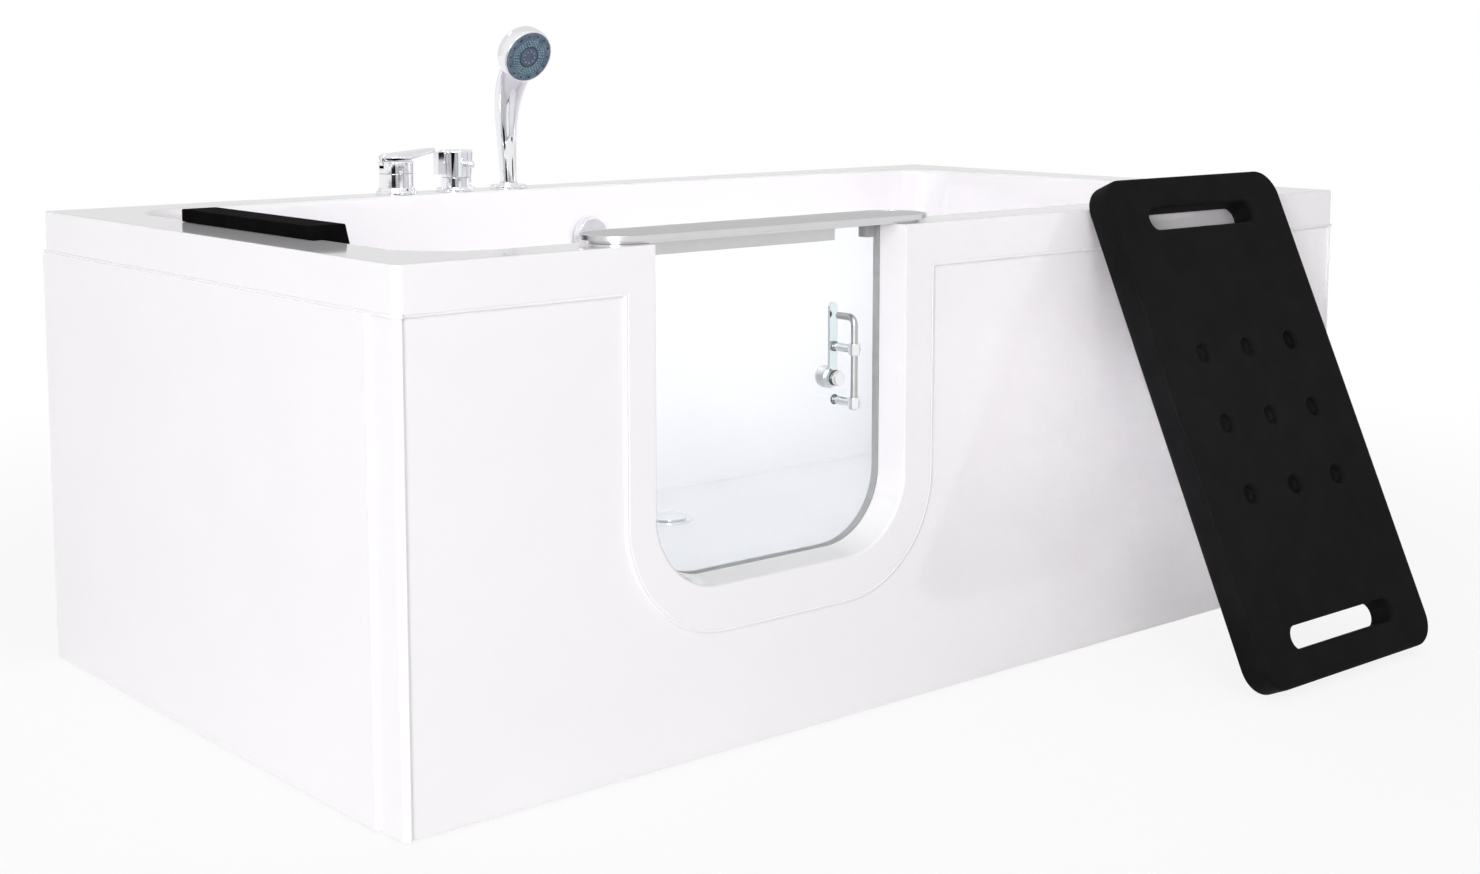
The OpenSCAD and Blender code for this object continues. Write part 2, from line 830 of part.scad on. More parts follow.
// Each clamp grips the bar, stands off the glass and closes with a socket screw at its side
module bar_clamps() {
  color(bright) difference() {
    for (z = clamp_zs) {
      z_rod(latch_x, bar_y, clamp_r, z - clamp_h / 2, z + clamp_h / 2);
      y_rod(latch_x, z, standoff_r, bar_y, glass_y0);
      x_rod(bar_y, z, 3.4, latch_x, latch_x + clamp_r + 2);
    }
    z_rod(latch_x, bar_y, bar_r + snug, bar_z0 - 5, bar_z1);
    for (z = clamp_zs) y_rod(latch_x, z, bolt_r + snug, bar_y + bar_r + 4, glass_y0 + 1);
    for (z = clamp_zs) x_rod(bar_y, z, 1.8, latch_x + clamp_r, latch_x + clamp_r + 3);
  }
}

module clamp_bolts() {
  color(bright) for (z = clamp_zs) {
    y_rod(latch_x, z, bolt_r, bar_y + bar_r + 5, glass_y1 + 0.5);
    y_rod(latch_x, z, 7, glass_y1, glass_y1 + disc_t);
  }
}

// ---------- Overflow and waste ----------
module overflow_plate() {
  color(bright) difference() {
    union() {
      y_rod(drain_x, overflow_z, 26, back_y - plate_t, back_y);
      y_rod(drain_x, overflow_z, sleeve_r, back_y - 0.5, elbow_y0);
    }
    for (a = [0:60:300])
      y_rod(drain_x + 15 * cos(a), overflow_z + 15 * sin(a), 5, back_y - plate_t - 1, elbow_y0 + 1);
    y_rod(drain_x, overflow_z, shaft_r + running, back_y - plate_t - 1, elbow_y0 + 1);
  }
}

module overflow_knob() {
  ya = back_y - plate_t - 0.3;
  color(bright) {
    translate([drain_x, ya, overflow_z]) rotate([90, 0, 0])
      cylinder(h = 9, r1 = knob_d / 2, r2 = knob_d / 2 - 4);
    translate([drain_x, ya - 9, overflow_z]) rotate([90, 0, 0]) cylinder(h = 3, r = 11);
    y_rod(drain_x, overflow_z, shaft_r, ya - 1, elbow_y0 + 20);
  }
}

module overflow_elbow() {
  color([0.9, 0.9, 0.9]) difference() {
    union() {
      y_rod(drain_x, overflow_z, elbow_r, elbow_y0, elbow_y1);
      z_rod(drain_x, down_y, down_r, overflow_z - elbow_r - 10, overflow_z);
    }
    y_rod(drain_x, overflow_z, elbow_r - 8, elbow_y0 - 1, elbow_y1 - 4);
    z_rod(drain_x, down_y, down_r - 3, overflow_z - elbow_r - 11, overflow_z);
  }
}

module overflow_pipe() {
  top = overflow_z - elbow_r - 10;
  color([0.9, 0.9, 0.9]) difference() {
    union() {
      z_rod(drain_x, down_y, down_r, low_z, top);
      translate([drain_x, down_y, low_z]) sphere(down_r);
      y_rod(drain_x, low_z, 12, drain_y + waste_r, down_y);
    }
    z_rod(drain_x, down_y, down_r - 3, low_z, top + 1);
    y_rod(drain_x, low_z, 9, drain_y + waste_r - 1, down_y);
  }
}

cable_x = drain_x - elbow_r - 3;
cable_y = elbow_y0 + 7;
module lift_cable() {
  color(black) {
    z_rod(cable_x, cable_y, 3, low_z, overflow_z);
    translate([cable_x, cable_y, low_z]) sphere(3);
    y_rod(cable_x, low_z, 3, drain_y, cable_y);
  }
}

module waste_flange() {
  z1 = floor_h;
  color(bright) difference() {
    union() {
      translate([drain_x, drain_y, z1]) cylinder(h = 2.5, r1 = flange_r, r2 = flange_r - 3);
      z_rod(drain_x, drain_y, drain_r - 0.3, z1 - 22, z1 + 1);
    }
    difference() {
      z_rod(drain_x, drain_y, throat_r, z1 - 30, z1 + 5);
      box([drain_x - 30, drain_y - 3, z1 - 23], [drain_x + 30, drain_y + 3, z1 - 12]);
      z_rod(drain_x, drain_y, 8, z1 - 23, z1 - 12);
    }
    z_rod(drain_x, drain_y, 4 + running, z1 - 30, z1 + 5);
  }
}

module waste_gasket() {
  z1 = floor_h - shell_t;
  color(black) difference() {
    z_rod(drain_x, drain_y, 36, z1 - 3, z1);
    z_rod(drain_x, drain_y, drain_r, z1 - 4, z1 + 1);
  }
}

module waste_body() {
  z1 = floor_h - shell_t - 3;
  color([0.9, 0.9, 0.9]) difference() {
    union() {
      z_rod(drain_x, drain_y, 36, z1 - 5, z1);
      z_rod(drain_x, drain_y, waste_r, 26, z1);
    }
    z_rod(drain_x, drain_y, drain_r, z1 - 14, z1 + 1);
    z_rod(drain_x, drain_y, waste_r - 4, 30, z1);
    y_rod(drain_x, low_z, 9, drain_y, drain_y + waste_r + 1);
    x_rod(drain_y, trap_z, trap_pipe_r - 4, drain_x, drain_x + waste_r + 1);
  }
}

module waste_trap() {
  color([0.9, 0.9, 0.9]) difference() {
    union() {
      z_rod(trap_x, drain_y, trap_r, 8, rail_z - 1);
      x_rod(drain_y, trap_z, trap_pipe_r, drain_x + waste_r, trap_x);
      y_rod(trap_x, trap_z, trap_pipe_r - 1, drain_y, tail_end_y);
      y_rod(trap_x, trap_z, trap_pipe_r, tail_end_y - spigot_l, tail_end_y);
    }
    z_rod(trap_x, drain_y, trap_r - 4, 12, rail_z - 5);
    x_rod(drain_y, trap_z, trap_pipe_r - 4, drain_x + waste_r - 1, trap_x);
    y_rod(trap_x, trap_z, trap_pipe_r - 4, drain_y, tail_end_y + 1);
  }
}

module popup_plug() {
  z1 = floor_h + 2.5;
  color(bright) {
    translate([drain_x, drain_y, z1]) cylinder(h = 3, r = throat_r + 6);
    translate([drain_x, drain_y, z1 + 3]) cylinder(h = 2.5, r1 = throat_r + 6, r2 = throat_r);
    z_rod(drain_x, drain_y, 4, z1 - 40, z1 + 1);
  }
}

// ---------- Taps ----------
module shank(x) {
  z_rod(x, deck_y, shank_r, shank_z, rim_h + 1);
}

module tap_flange(x, r, t) {
  z_rod(x, deck_y, r, rim_h, rim_h + t - 2);
  translate([x, deck_y, rim_h + t - 2]) cylinder(h = 2, r1 = r, r2 = r - 2);
}

body_r = 26.5;
mixer_split = rim_h + 32;
cap_top = mixer_split + 19.3;
module mixer_body() {
  color(bright) difference() {
    union() {
      shank(mixer_x);
      tap_flange(mixer_x, 31.5, 6);
      z_rod(mixer_x, deck_y, body_r + 1.5, rim_h + 6, rim_h + 10);
      z_rod(mixer_x, deck_y, body_r, rim_h + 9, mixer_split);
      z_rod(mixer_x, deck_y, 12, mixer_split - 1, mixer_split + 5);
    }
    for (s = [-1, 1]) z_rod(mixer_x + s * tail_dx / 2, tail_y, 4, shank_z - 1, shank_z + 20);
  }
}

tongue_t = 12;
pin_dx = -20;
pin_z = cap_top - 4;
pin_r = 2;
module mixer_cap() {
  slot_w = tongue_t / 2 + 0.3;
  color(bright) difference() {
    union() {
      z_rod(mixer_x, deck_y, body_r, mixer_split + 0.3, cap_top - 2);
      translate([mixer_x, deck_y, cap_top - 2]) cylinder(h = 2, r1 = body_r, r2 = body_r - 2);
    }
    z_rod(mixer_x, deck_y, 12 + running, mixer_split - 1, mixer_split + 5.3);
    box([mixer_x - 40, deck_y - slot_w, cap_top - 11], [mixer_x + 2, deck_y + slot_w, cap_top + 1]);
    y_rod(mixer_x + pin_dx, pin_z, pin_r + snug, deck_y - 40, deck_y + 40);
  }
}

module lever_pin() {
  w = sqrt(pow(body_r, 2) - pow(pin_dx, 2)) - 1;
  color(bright) y_rod(mixer_x + pin_dx, pin_z, pin_r, deck_y - w, deck_y + w);
}

// A round cap that runs out into a flat paddle, on a tongue that swings on the pin
module mixer_lever() {
  z0 = cap_top + 1.2;
  color(bright) difference() {
    union() {
      hull($fn = 32) {
        z_rod(mixer_x + 3, deck_y, 21, z0, z0 + 0.5);
        z_rod(mixer_x, deck_y, body_r - 0.3, z0 + 3.3, z0 + 5.3);
        z_rod(mixer_x, deck_y, 21.5, z0 + 8.6, z0 + 9.1);
        z_rod(mixer_x + 61, deck_y, 8, z0 + 9.8, z0 + 14.3);
        z_rod(mixer_x + 60, deck_y, 7, z0 + 15.2, z0 + 15.7);
      }
      box([mixer_x - 26, deck_y - tongue_t / 2, cap_top - 7], [mixer_x - 10, deck_y + tongue_t / 2, z0 + 5]);
    }
    y_rod(mixer_x + pin_dx, pin_z, pin_r + running, deck_y - 20, deck_y + 20);
  }
}

module mixer_tails() {
  color([0.80, 0.52, 0.36]) for (s = [-1, 1]) difference() {
    z_rod(mixer_x + s * tail_dx / 2 + s * 4, tail_y, tail_r, tail_z, shank_z);
    z_rod(mixer_x + s * tail_dx / 2 + s * 4, tail_y, tail_r - 1.5, tail_z - 1, shank_z + 1);
  }
}

module diverter_body() {
  color(bright) {
    shank(diverter_x);
    tap_flange(diverter_x, 31, 6);
    z_rod(diverter_x, deck_y, 23.5, rim_h + 5, rim_h + 22);
    z_rod(diverter_x, deck_y, 11, rim_h + 21, rim_h + 28);
  }
}

module diverter_handle() {
  z0 = rim_h + 22.3;
  z1 = rim_h + 62;
  rod_z = rim_h + 43;
  color(bright) difference() {
    union() {
      translate([diverter_x, deck_y, z0]) cylinder(h = z1 - z0, r1 = 24, r2 = 26.5);
      translate([diverter_x, deck_y, z1]) cylinder(h = 2, r1 = 26.5, r2 = 24.5);
      box([diverter_x - 37, deck_y - 7, rim_h + 27], [diverter_x, deck_y + 7, z1]);
      y_rod(diverter_x, rod_z, 4, deck_y - 38, deck_y);
      translate([diverter_x, deck_y - 40, rod_z]) sphere(6.8);
    }
    z_rod(diverter_x, deck_y, 11 + running, z0 - 1, rim_h + 28.3);
  }
}

module tap_nuts() {
  color([0.80, 0.70, 0.42]) for (x = [mixer_x, diverter_x, shower_x]) difference() {
    translate([x, deck_y, slab_z - nut_t]) cylinder(h = nut_t, r = 24, $fn = 6);
    z_rod(x, deck_y, shank_r + snug, slab_z - nut_t - 1, slab_z + 1);
  }
}

module link_pipe() {
  color([0.80, 0.52, 0.36]) {
    for (x = [mixer_x, diverter_x]) {
      z_rod(x, pipe_y, pipe_r, link_z, shank_z);
      translate([x, pipe_y, link_z]) sphere(pipe_r);
    }
    x_rod(pipe_y, link_z, pipe_r, mixer_x, diverter_x);
  }
}

module fill_pipe() {
  z = overflow_z;
  color([0.80, 0.52, 0.36]) {
    z_rod(diverter_x, tail_y, pipe_r, z, shank_z);
    translate([diverter_x, tail_y, z]) sphere(pipe_r);
    x_rod(tail_y, z, pipe_r, diverter_x, drain_x - elbow_r);
  }
}

holder_r = 12;
spigot_r = 11.92;
stem_z = 10;
module shower_holder() {
  color(bright) difference() {
    union() {
      shank(shower_x);
      tap_flange(shower_x, 29.8, 6);
      z_rod(shower_x, deck_y, 14.6, rim_h + 5, rim_h + stem_z - 0.3);
    }
    z_rod(shower_x, deck_y, holder_r, shank_z - 1, rim_h + stem_z);
  }
}

head_rise = 208;
head_reach = 59.5;
head_z = rim_h + head_rise;
head_y = deck_y - head_reach;
module at_head() {
  translate([shower_x, head_y, head_z]) rotate([90 + head_tilt, 0, 0]) children();
}

// Sections of the grip: height over the rim, reach forward, half width, half depth, tilt
grip_rows = [
  [stem_z, 0, 13.3, 13.3, 0], [40, -1.5, 13.9, 13.9, 0], [65, -3, 15, 14.6, 0], [90, -4, 17, 15.8, 2],
  [122, -2, 20.5, 17.3, 8], [150, 5, 24.5, 17.5, 18], [172, 16, 28.5, 15, 32], [192, 30, 30, 11, 48],
  [204, 40, 24, 6, 60]
];
function eased(a, b, c, d, t) =
  (2 * b + (c - a) * t + (2 * a - 5 * b + 4 * c - d) * t * t + (3 * b - a - 3 * c + d) * t * t * t) / 2;
function between(rows, i, t) =
  eased(rows[max(i - 1, 0)], rows[i], rows[i + 1], rows[min(i + 2, len(rows) - 1)], t);
module grip(rows) {
  m = len(rows);
  n = 24;
  fine = concat([for (i = [0:m - 2]) for (k = [0:2]) between(rows, i, k / 3)], [rows[m - 1]]);
  pts = [for (r = fine) for (i = [0:n - 1])
    let (u = r[2] * cos(i * 360 / n), v = r[3] * sin(i * 360 / n))
    [shower_x + u, deck_y - r[1] + v * cos(r[4]), rim_h + r[0] + v * sin(r[4])]];
  last = (len(fine) - 1) * n;
  sides = [for (k = [0:len(fine) - 2]) for (i = [0:n - 1])
    let (a = k * n + i, b = k * n + (i + 1) % n)
    each [[a, a + n, b + n], [a, b + n, b]]];
  ends = [for (i = [1:n - 2]) each [[0, i, i + 1], [last, last + i + 1, last + i]]];
  polyhedron(points = pts, faces = concat(sides, ends), convexity = 4);
}

module shower_handset() {
  r = head_d / 2;
  color(bright) {
    z_rod(shower_x, deck_y, spigot_r, rim_h - 10, rim_h + stem_z + 1);
    grip(grip_rows);
    at_head() rotate_extrude() polygon([
      [0, -24], [r - 28, -23], [r - 16, -20], [r - 7, -15.5], [r - 2, -10],
      [r, -5], [r, -1.5], [r - 1.2, 0], [0, 0]
    ]);
  }
}

module spray_face() {
  color([0.20, 0.24, 0.30]) at_head() cylinder(h = 2.5, r1 = head_d / 2 - 3, r2 = head_d / 2 - 5);
}

// ---------- Loose pieces ----------
// The pillow follows the backrest a little off its surface
function wall_x(z) = head_x + head_in(z);
pillow_off = 1.5;
pillow_low = rim_h - pillow_drop;
pillow_mid = rim_h - 50;
module bath_pillow() {
  inner = [for (z = [pillow_low, pillow_mid, wall_top - 4]) [wall_x(z) + pillow_off, z]];
  outer = [for (z = [wall_top + 6, pillow_mid, pillow_low + 6]) [wall_x(z) + pillow_off + pillow_t * 0.9, z]];
  rim_part = [
    [head_x - lip_r + 6, rim_h + 0.4], [head_x - 13, rim_h + 0.4], [head_x - 16, rim_h + 6],
    [head_x - 8, rim_h + 18], [head_x + 2, rim_h + 20], [head_x + 14, rim_h + 14]
  ];
  color(black) upright_plate(-pillow_w / 2, pillow_w / 2) polygon(concat(inner, rim_part, outer));
}

module board_slot(v) {
  translate([0, v]) union() {
    square([slot_l - slot_h, slot_h], center = true);
    for (s = [-1, 1]) translate([s * (slot_l - slot_h) / 2, 0]) circle(slot_h / 2);
  }
}

dimple_pitch = 101;
dimple_r = 13;
module bath_board() {
  color(black) translate([board_x, board_y, 0.3]) rotate([-board_lean, 0, 0]) difference() {
    upright_plate(-board_t, 0) translate([0, board_l / 2]) difference() {
      rounded_rect(board_w, board_l, 40);
      for (s = [-1, 1]) board_slot(s * (board_l / 2 - 61));
    }
    for (i = [-1:1]) for (j = [-1:1])
      y_rod(i * dimple_pitch, board_l / 2 + j * dimple_pitch, dimple_r, -board_t - 1, -board_t + 12);
  }
}

tub_shell();
door_surround();
front_apron();
left_end_panel();
right_end_panel();
base_board();
long_rails();
cross_rails();
end_rails();
rim_uprights();
foot_pads();
foot_studs();
foot_nuts();
panel_clips();
cap_rail();
cap_trim();
hinge_rod();
hinge_brackets();
bracket_screws();
keeper();
keeper_screws();
door_glass();
door_seal();
hinge_stile();
stile_screws();
top_channel();
end_block();
spindle_bush();
pull_bar();
bar_clamps();
clamp_bolts();
latch_spindle();
latch_arm();
latch_knob();
overflow_plate();
overflow_elbow();
overflow_pipe();
overflow_knob();
lift_cable();
waste_flange();
waste_gasket();
waste_body();
waste_trap();
popup_plug();
mixer_body();
mixer_cap();
mixer_lever();
lever_pin();
mixer_tails();
diverter_body();
diverter_handle();
tap_nuts();
link_pipe();
fill_pipe();
shower_holder();
shower_handset();
spray_face();
bath_pillow();
bath_board();
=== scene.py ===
import math

import bmesh
import bpy
from mathutils import Matrix, Vector


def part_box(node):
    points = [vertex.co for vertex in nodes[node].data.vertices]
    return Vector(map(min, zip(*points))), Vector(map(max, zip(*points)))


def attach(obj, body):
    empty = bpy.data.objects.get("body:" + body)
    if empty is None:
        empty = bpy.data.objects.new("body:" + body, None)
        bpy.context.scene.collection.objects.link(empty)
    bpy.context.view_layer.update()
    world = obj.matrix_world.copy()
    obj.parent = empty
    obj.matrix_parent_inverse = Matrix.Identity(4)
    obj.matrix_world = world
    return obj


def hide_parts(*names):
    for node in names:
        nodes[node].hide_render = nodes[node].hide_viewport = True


# ---------- The bath's frame ----------
# Every piece of the bath is placed by the construction model, which holds the real sizes in metres.
# X runs from the head end to the foot end, Y from the apron to the wall side, Z is up.
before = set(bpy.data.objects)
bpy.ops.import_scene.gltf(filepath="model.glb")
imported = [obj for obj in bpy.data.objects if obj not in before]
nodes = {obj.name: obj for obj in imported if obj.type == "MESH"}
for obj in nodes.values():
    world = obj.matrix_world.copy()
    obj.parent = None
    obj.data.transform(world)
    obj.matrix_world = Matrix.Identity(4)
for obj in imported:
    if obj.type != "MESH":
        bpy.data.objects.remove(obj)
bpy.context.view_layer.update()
scene = bpy.context.scene
scene.view_settings.view_transform = "Standard"

# ---------- Camera ----------
# The photograph was taken from the head end, a little above the rim, with a normal lens.
# The shift is the photograph's own crop: its horizon lies above the middle of the picture.
photo_width = 1480
focal_px = 2075.6
shift_px = 148
sensor_mm = 36
view_turn = math.radians(-40.603)
view_tilt = math.radians(90 - 6.766)
viewpoint = (-1.9746, -2.3238, 0.8597)
lens_data = bpy.data.cameras.new("photo_camera")
lens_data.sensor_fit = "HORIZONTAL"
lens_data.sensor_width = sensor_mm
lens_data.lens = focal_px / photo_width * sensor_mm
lens_data.shift_y = -shift_px / photo_width
camera = bpy.data.objects.new("photo_camera", lens_data)
camera.location = viewpoint
camera.rotation_euler = (view_tilt, 0, view_turn)
scene.collection.objects.link(camera)
scene.camera = camera

# ---------- Studio ----------
# A white seamless floor and sky, a high key box before the apron and a low side box at the head end.
# Four weak boxes with honeycomb grids fill the basin's walls and floor and the apron's far half.
# Camera and glass rays see plain white, mirrors also a pale grey wall beyond; the floor keeps the shadow.
def node_of(tree, kind, **values):
    """A new shader or geometry node with the given settings or input values."""
    made = tree.nodes.new(kind)
    for key, value in values.items():
        if hasattr(made, key):
            setattr(made, key, value)
        else:
            made.inputs[key.replace("_", " ")].default_value = value
    return made


def studio_rays(tree):
    """1 for rays from the camera, a mirror or glass, 0 for the rays that carry light."""
    path = node_of(tree, "ShaderNodeLightPath")
    total = path.outputs["Is Camera Ray"]
    for kind in ("Is Glossy Ray", "Is Transmission Ray"):
        both = node_of(tree, "ShaderNodeMath", operation="MAXIMUM")
        tree.links.new(total, both.inputs[0])
        tree.links.new(path.outputs[kind], both.inputs[1])
        total = both.outputs[0]
    return total


def soft_box(name, power, size, place, target, spread):
    """A rectangular area lamp that faces a point of the bath. A honeycomb grid narrows its spread."""
    data = bpy.data.lights.new(name, "AREA")
    data.shape = "RECTANGLE"
    data.size, data.size_y = size
    data.energy = power
    data.spread = math.radians(spread)
    lamp = bpy.data.objects.new(name, data)
    lamp.location = place
    aim = Vector(target) - Vector(place)
    lamp.rotation_euler = aim.to_track_quat("-Z", "Y").to_euler()
    scene.collection.objects.link(lamp)


# Each box: name, power in watts, size, place, the point that it faces and its spread in degrees
for box in (
    ("key_box", 92, (2.4, 2.4), (-3.0, -4.8, 5.0), (0, 0, 0.4), 180),
    ("side_box", 245, (2.4, 1.8), (-6.5, -4.6, 1.6), (0, 0, 0.4), 180),
    ("basin_box", 0.82, (1.3, 0.1), (0, -2.6, 2.62), (0.05, 0.37, 0.37), 12),
    ("floor_box", 0.3, (1.1, 0.4), (0.1, 0.02, 3.2), (0.1, 0.02, 0.1), 8),
    ("return_box", 0.6, (1.3, 0.1), (0, 2.6, 2.62), (0.05, -0.37, 0.37), 12),
    ("apron_box", 0.4, (0.3, 0.4), (-4.2, -3.7, 1.3), (0.45, -0.46, 0.32), 6),
):
    soft_box(*box)

world = bpy.data.worlds.new("white_room")
scene.world = world
world.use_nodes = True
sky = world.node_tree
sky.nodes.clear()
white = (1, 1, 1, 1)
sky_power = 0.48
sky_light = node_of(sky, "ShaderNodeBackground", Color=white, Strength=sky_power)
sky_seen = node_of(sky, "ShaderNodeBackground", Color=white, Strength=1.0)
# The far wall, in a fixed direction across the room, gives mirrors something pale grey to show.
# It fades in between two cosines of the angle from that direction.
far_wall = (0.65, 0.76, 0.0)
wall_grey = 0.84
wall_from, wall_full = -0.2, 0.6
sky_place = node_of(sky, "ShaderNodeTexCoord")
sky_towards = node_of(sky, "ShaderNodeVectorMath", operation="DOT_PRODUCT")
sky_towards.inputs[1].default_value = far_wall
sky_wall = node_of(sky, "ShaderNodeMapRange", interpolation_type="SMOOTHSTEP")
sky_wall.inputs["From Min"].default_value = wall_from
sky_wall.inputs["From Max"].default_value = wall_full
sky_wall.inputs["To Min"].default_value = 0.0
sky_wall.inputs["To Max"].default_value = 1.0 - wall_grey
sky_path = node_of(sky, "ShaderNodeLightPath")
sky_share = node_of(sky, "ShaderNodeMath", operation="MULTIPLY")
sky_strength = node_of(sky, "ShaderNodeMath", operation="SUBTRACT")
sky_strength.inputs[0].default_value = 1.0
sky.links.new(sky_place.outputs["Generated"], sky_towards.inputs[0])
sky.links.new(sky_towards.outputs["Value"], sky_wall.inputs["Value"])
sky.links.new(sky_wall.outputs["Result"], sky_share.inputs[0])
sky.links.new(sky_path.outputs["Is Glossy Ray"], sky_share.inputs[1])
sky.links.new(sky_share.outputs[0], sky_strength.inputs[1])
sky.links.new(sky_strength.outputs[0], sky_seen.inputs["Strength"])
sky_mix = node_of(sky, "ShaderNodeMixShader")
sky_out = node_of(sky, "ShaderNodeOutputWorld")
sky.links.new(studio_rays(sky), sky_mix.inputs["Fac"])
sky.links.new(sky_light.outputs[0], sky_mix.inputs[1])
sky.links.new(sky_seen.outputs[0], sky_mix.inputs[2])
sky.links.new(sky_mix.outputs[0], sky_out.inputs[0])

# The floor's shadow shows less than in full, and fades to plain white between two distances in metres
floor_size = 14
floor_colour = (0.94, 0.94, 0.94, 1)
floor_keep = 0.86
fade_from, fade_full = 1.1, 2.6
floor_mesh = bpy.data.meshes.new("studio_floor")
floor_cut = bmesh.new()
bmesh.ops.create_circle(floor_cut, cap_ends=True, segments=96, radius=floor_size)
floor_cut.to_mesh(floor_mesh)
floor_cut.free()
studio_floor = bpy.data.objects.new("studio_floor", floor_mesh)
scene.collection.objects.link(studio_floor)
floor_finish = bpy.data.materials.new("white_floor")
floor_finish.use_nodes = True
paint = floor_finish.node_tree
paint.nodes.clear()
floor_paint = node_of(paint, "ShaderNodeBsdfDiffuse", Color=floor_colour)
floor_glow = node_of(paint, "ShaderNodeEmission", Color=white, Strength=1.0)
floor_place = node_of(paint, "ShaderNodeTexCoord")
floor_reach = node_of(paint, "ShaderNodeVectorMath", operation="LENGTH")
floor_share = node_of(paint, "ShaderNodeMapRange", interpolation_type="SMOOTHSTEP")
floor_share.inputs["From Min"].default_value = fade_from
floor_share.inputs["From Max"].default_value = fade_full
floor_share.inputs["To Min"].default_value = floor_keep
floor_white = node_of(paint, "ShaderNodeMath", operation="MULTIPLY")
floor_mix = node_of(paint, "ShaderNodeMixShader")
floor_out = node_of(paint, "ShaderNodeOutputMaterial")
paint.links.new(floor_place.outputs["Object"], floor_reach.inputs[0])
paint.links.new(floor_reach.outputs["Value"], floor_share.inputs["Value"])
paint.links.new(floor_share.outputs["Result"], floor_white.inputs[0])
paint.links.new(studio_rays(paint), floor_white.inputs[1])
paint.links.new(floor_white.outputs[0], floor_mix.inputs["Fac"])
paint.links.new(floor_paint.outputs[0], floor_mix.inputs[1])
paint.links.new(floor_glow.outputs[0], floor_mix.inputs[2])
paint.links.new(floor_mix.outputs[0], floor_out.inputs["Surface"])
floor_mesh.materials.append(floor_finish)


# ---------- Moulded tub ----------
# The tub and its raised doorway are one vacuum-formed sheet of white sanitary acrylic, backed with
# resin and glass fibre. The mould rounds every edge, most of all the visible face of the doorway.
# Points within merge_gap are one. Faces that turn by less than flat_turn are joined, those by less than
# smooth_turn are shaded smooth, and the front face's edges turn by more than face_turn, in degrees.
merge_gap = 2e-6
flat_turn = 0.6
smooth_turn = 38
face_turn = 40
face_steps = 4
# For every finish: where on the noise its two colours lie, and how deep its relief is in metres
mottle_low, mottle_high = 0.3, 0.7
relief_depth = 0.001


def finish_of(name, colour, roughness, metallic=0.0, **sockets):
    """A Principled material. Constants are set on the shader's own sockets."""
    material = bpy.data.materials.new(name)
    material.use_nodes = True
    shader = material.node_tree.nodes["Principled BSDF"]
    shader.inputs["Base Color"].default_value = (*colour, 1)
    shader.inputs["Roughness"].default_value = roughness
    shader.inputs["Metallic"].default_value = metallic
    for key, value in sockets.items():
        shader.inputs[key.replace("_", " ")].default_value = value
    return material


def mottle(material, scale, low, high, bump=0.0, bump_scale=None, rough=None):
    """Adds a faint change of colour, relief and gloss from noise on the object's own coordinates."""
    tree = material.node_tree
    shader = tree.nodes["Principled BSDF"]
    place = node_of(tree, "ShaderNodeTexCoord")
    noise = node_of(tree, "ShaderNodeTexNoise", Scale=scale, Detail=3.0)
    tree.links.new(place.outputs["Object"], noise.inputs["Vector"])
    ramp = node_of(tree, "ShaderNodeValToRGB")
    ramp.color_ramp.elements[0].position = mottle_low
    ramp.color_ramp.elements[1].position = mottle_high
    ramp.color_ramp.elements[0].color = (*low, 1)
    ramp.color_ramp.elements[1].color = (*high, 1)
    tree.links.new(noise.outputs["Fac"], ramp.inputs["Fac"])
    tree.links.new(ramp.outputs["Color"], shader.inputs["Base Color"])
    if rough:
        spread = node_of(tree, "ShaderNodeMapRange")
        spread.inputs["To Min"].default_value = rough[0]
        spread.inputs["To Max"].default_value = rough[1]
        tree.links.new(noise.outputs["Fac"], spread.inputs["Value"])
        tree.links.new(spread.outputs["Result"], shader.inputs["Roughness"])
    if bump:
        relief = node_of(tree, "ShaderNodeTexNoise", Scale=bump_scale or scale, Detail=2.0)
        tree.links.new(place.outputs["Object"], relief.inputs["Vector"])
        lift = node_of(tree, "ShaderNodeBump", Strength=bump, Distance=relief_depth)
        tree.links.new(relief.outputs["Fac"], lift.inputs["Height"])
        tree.links.new(lift.outputs["Normal"], shader.inputs["Normal"])
    return material


def finished(thing):
    """The mesh that an object's modifiers give."""
    seen = thing.evaluated_get(bpy.context.evaluated_depsgraph_get())
    return bpy.data.meshes.new_from_object(seen)


def placed(name, mesh):
    """A new object at the origin for a mesh."""
    piece = bpy.data.objects.new(name, mesh)
    scene.collection.objects.link(piece)
    return piece


def joined(*names):
    """One closed mesh from CAD nodes that are one piece on the real bath, with its points merged."""
    shells = []
    for name in names:
        mesh = nodes[name].data.copy()
        mesh.materials.clear()
        work = bmesh.new()
        work.from_mesh(mesh)
        bmesh.ops.remove_doubles(work, verts=work.verts, dist=merge_gap)
        work.to_mesh(mesh)
        work.free()
        shells.append(placed(name + "_shell", mesh))
    for other in shells[1:]:
        weld = shells[0].modifiers.new("weld", "BOOLEAN")
        weld.operation = "UNION"
        weld.solver = "EXACT"
        weld.object = other
    mesh = finished(shells[0])
    for shell in shells:
        bpy.data.objects.remove(shell)
    return mesh


def round_edges(work, edges, width, steps):
    """Rounds some edges of a shape by width metres."""
    bmesh.ops.bevel(
        work, geom=edges, offset=width, offset_type="OFFSET", segments=steps, profile=0.5,
        affect="EDGES", clamp_overlap=False,
    )


def sharp_edges(work, angle):
    """The edges between two faces that turn by more than an angle in degrees."""
    return [e for e in work.edges if len(e.link_faces) == 2 and e.calc_face_angle(0) > math.radians(angle)]


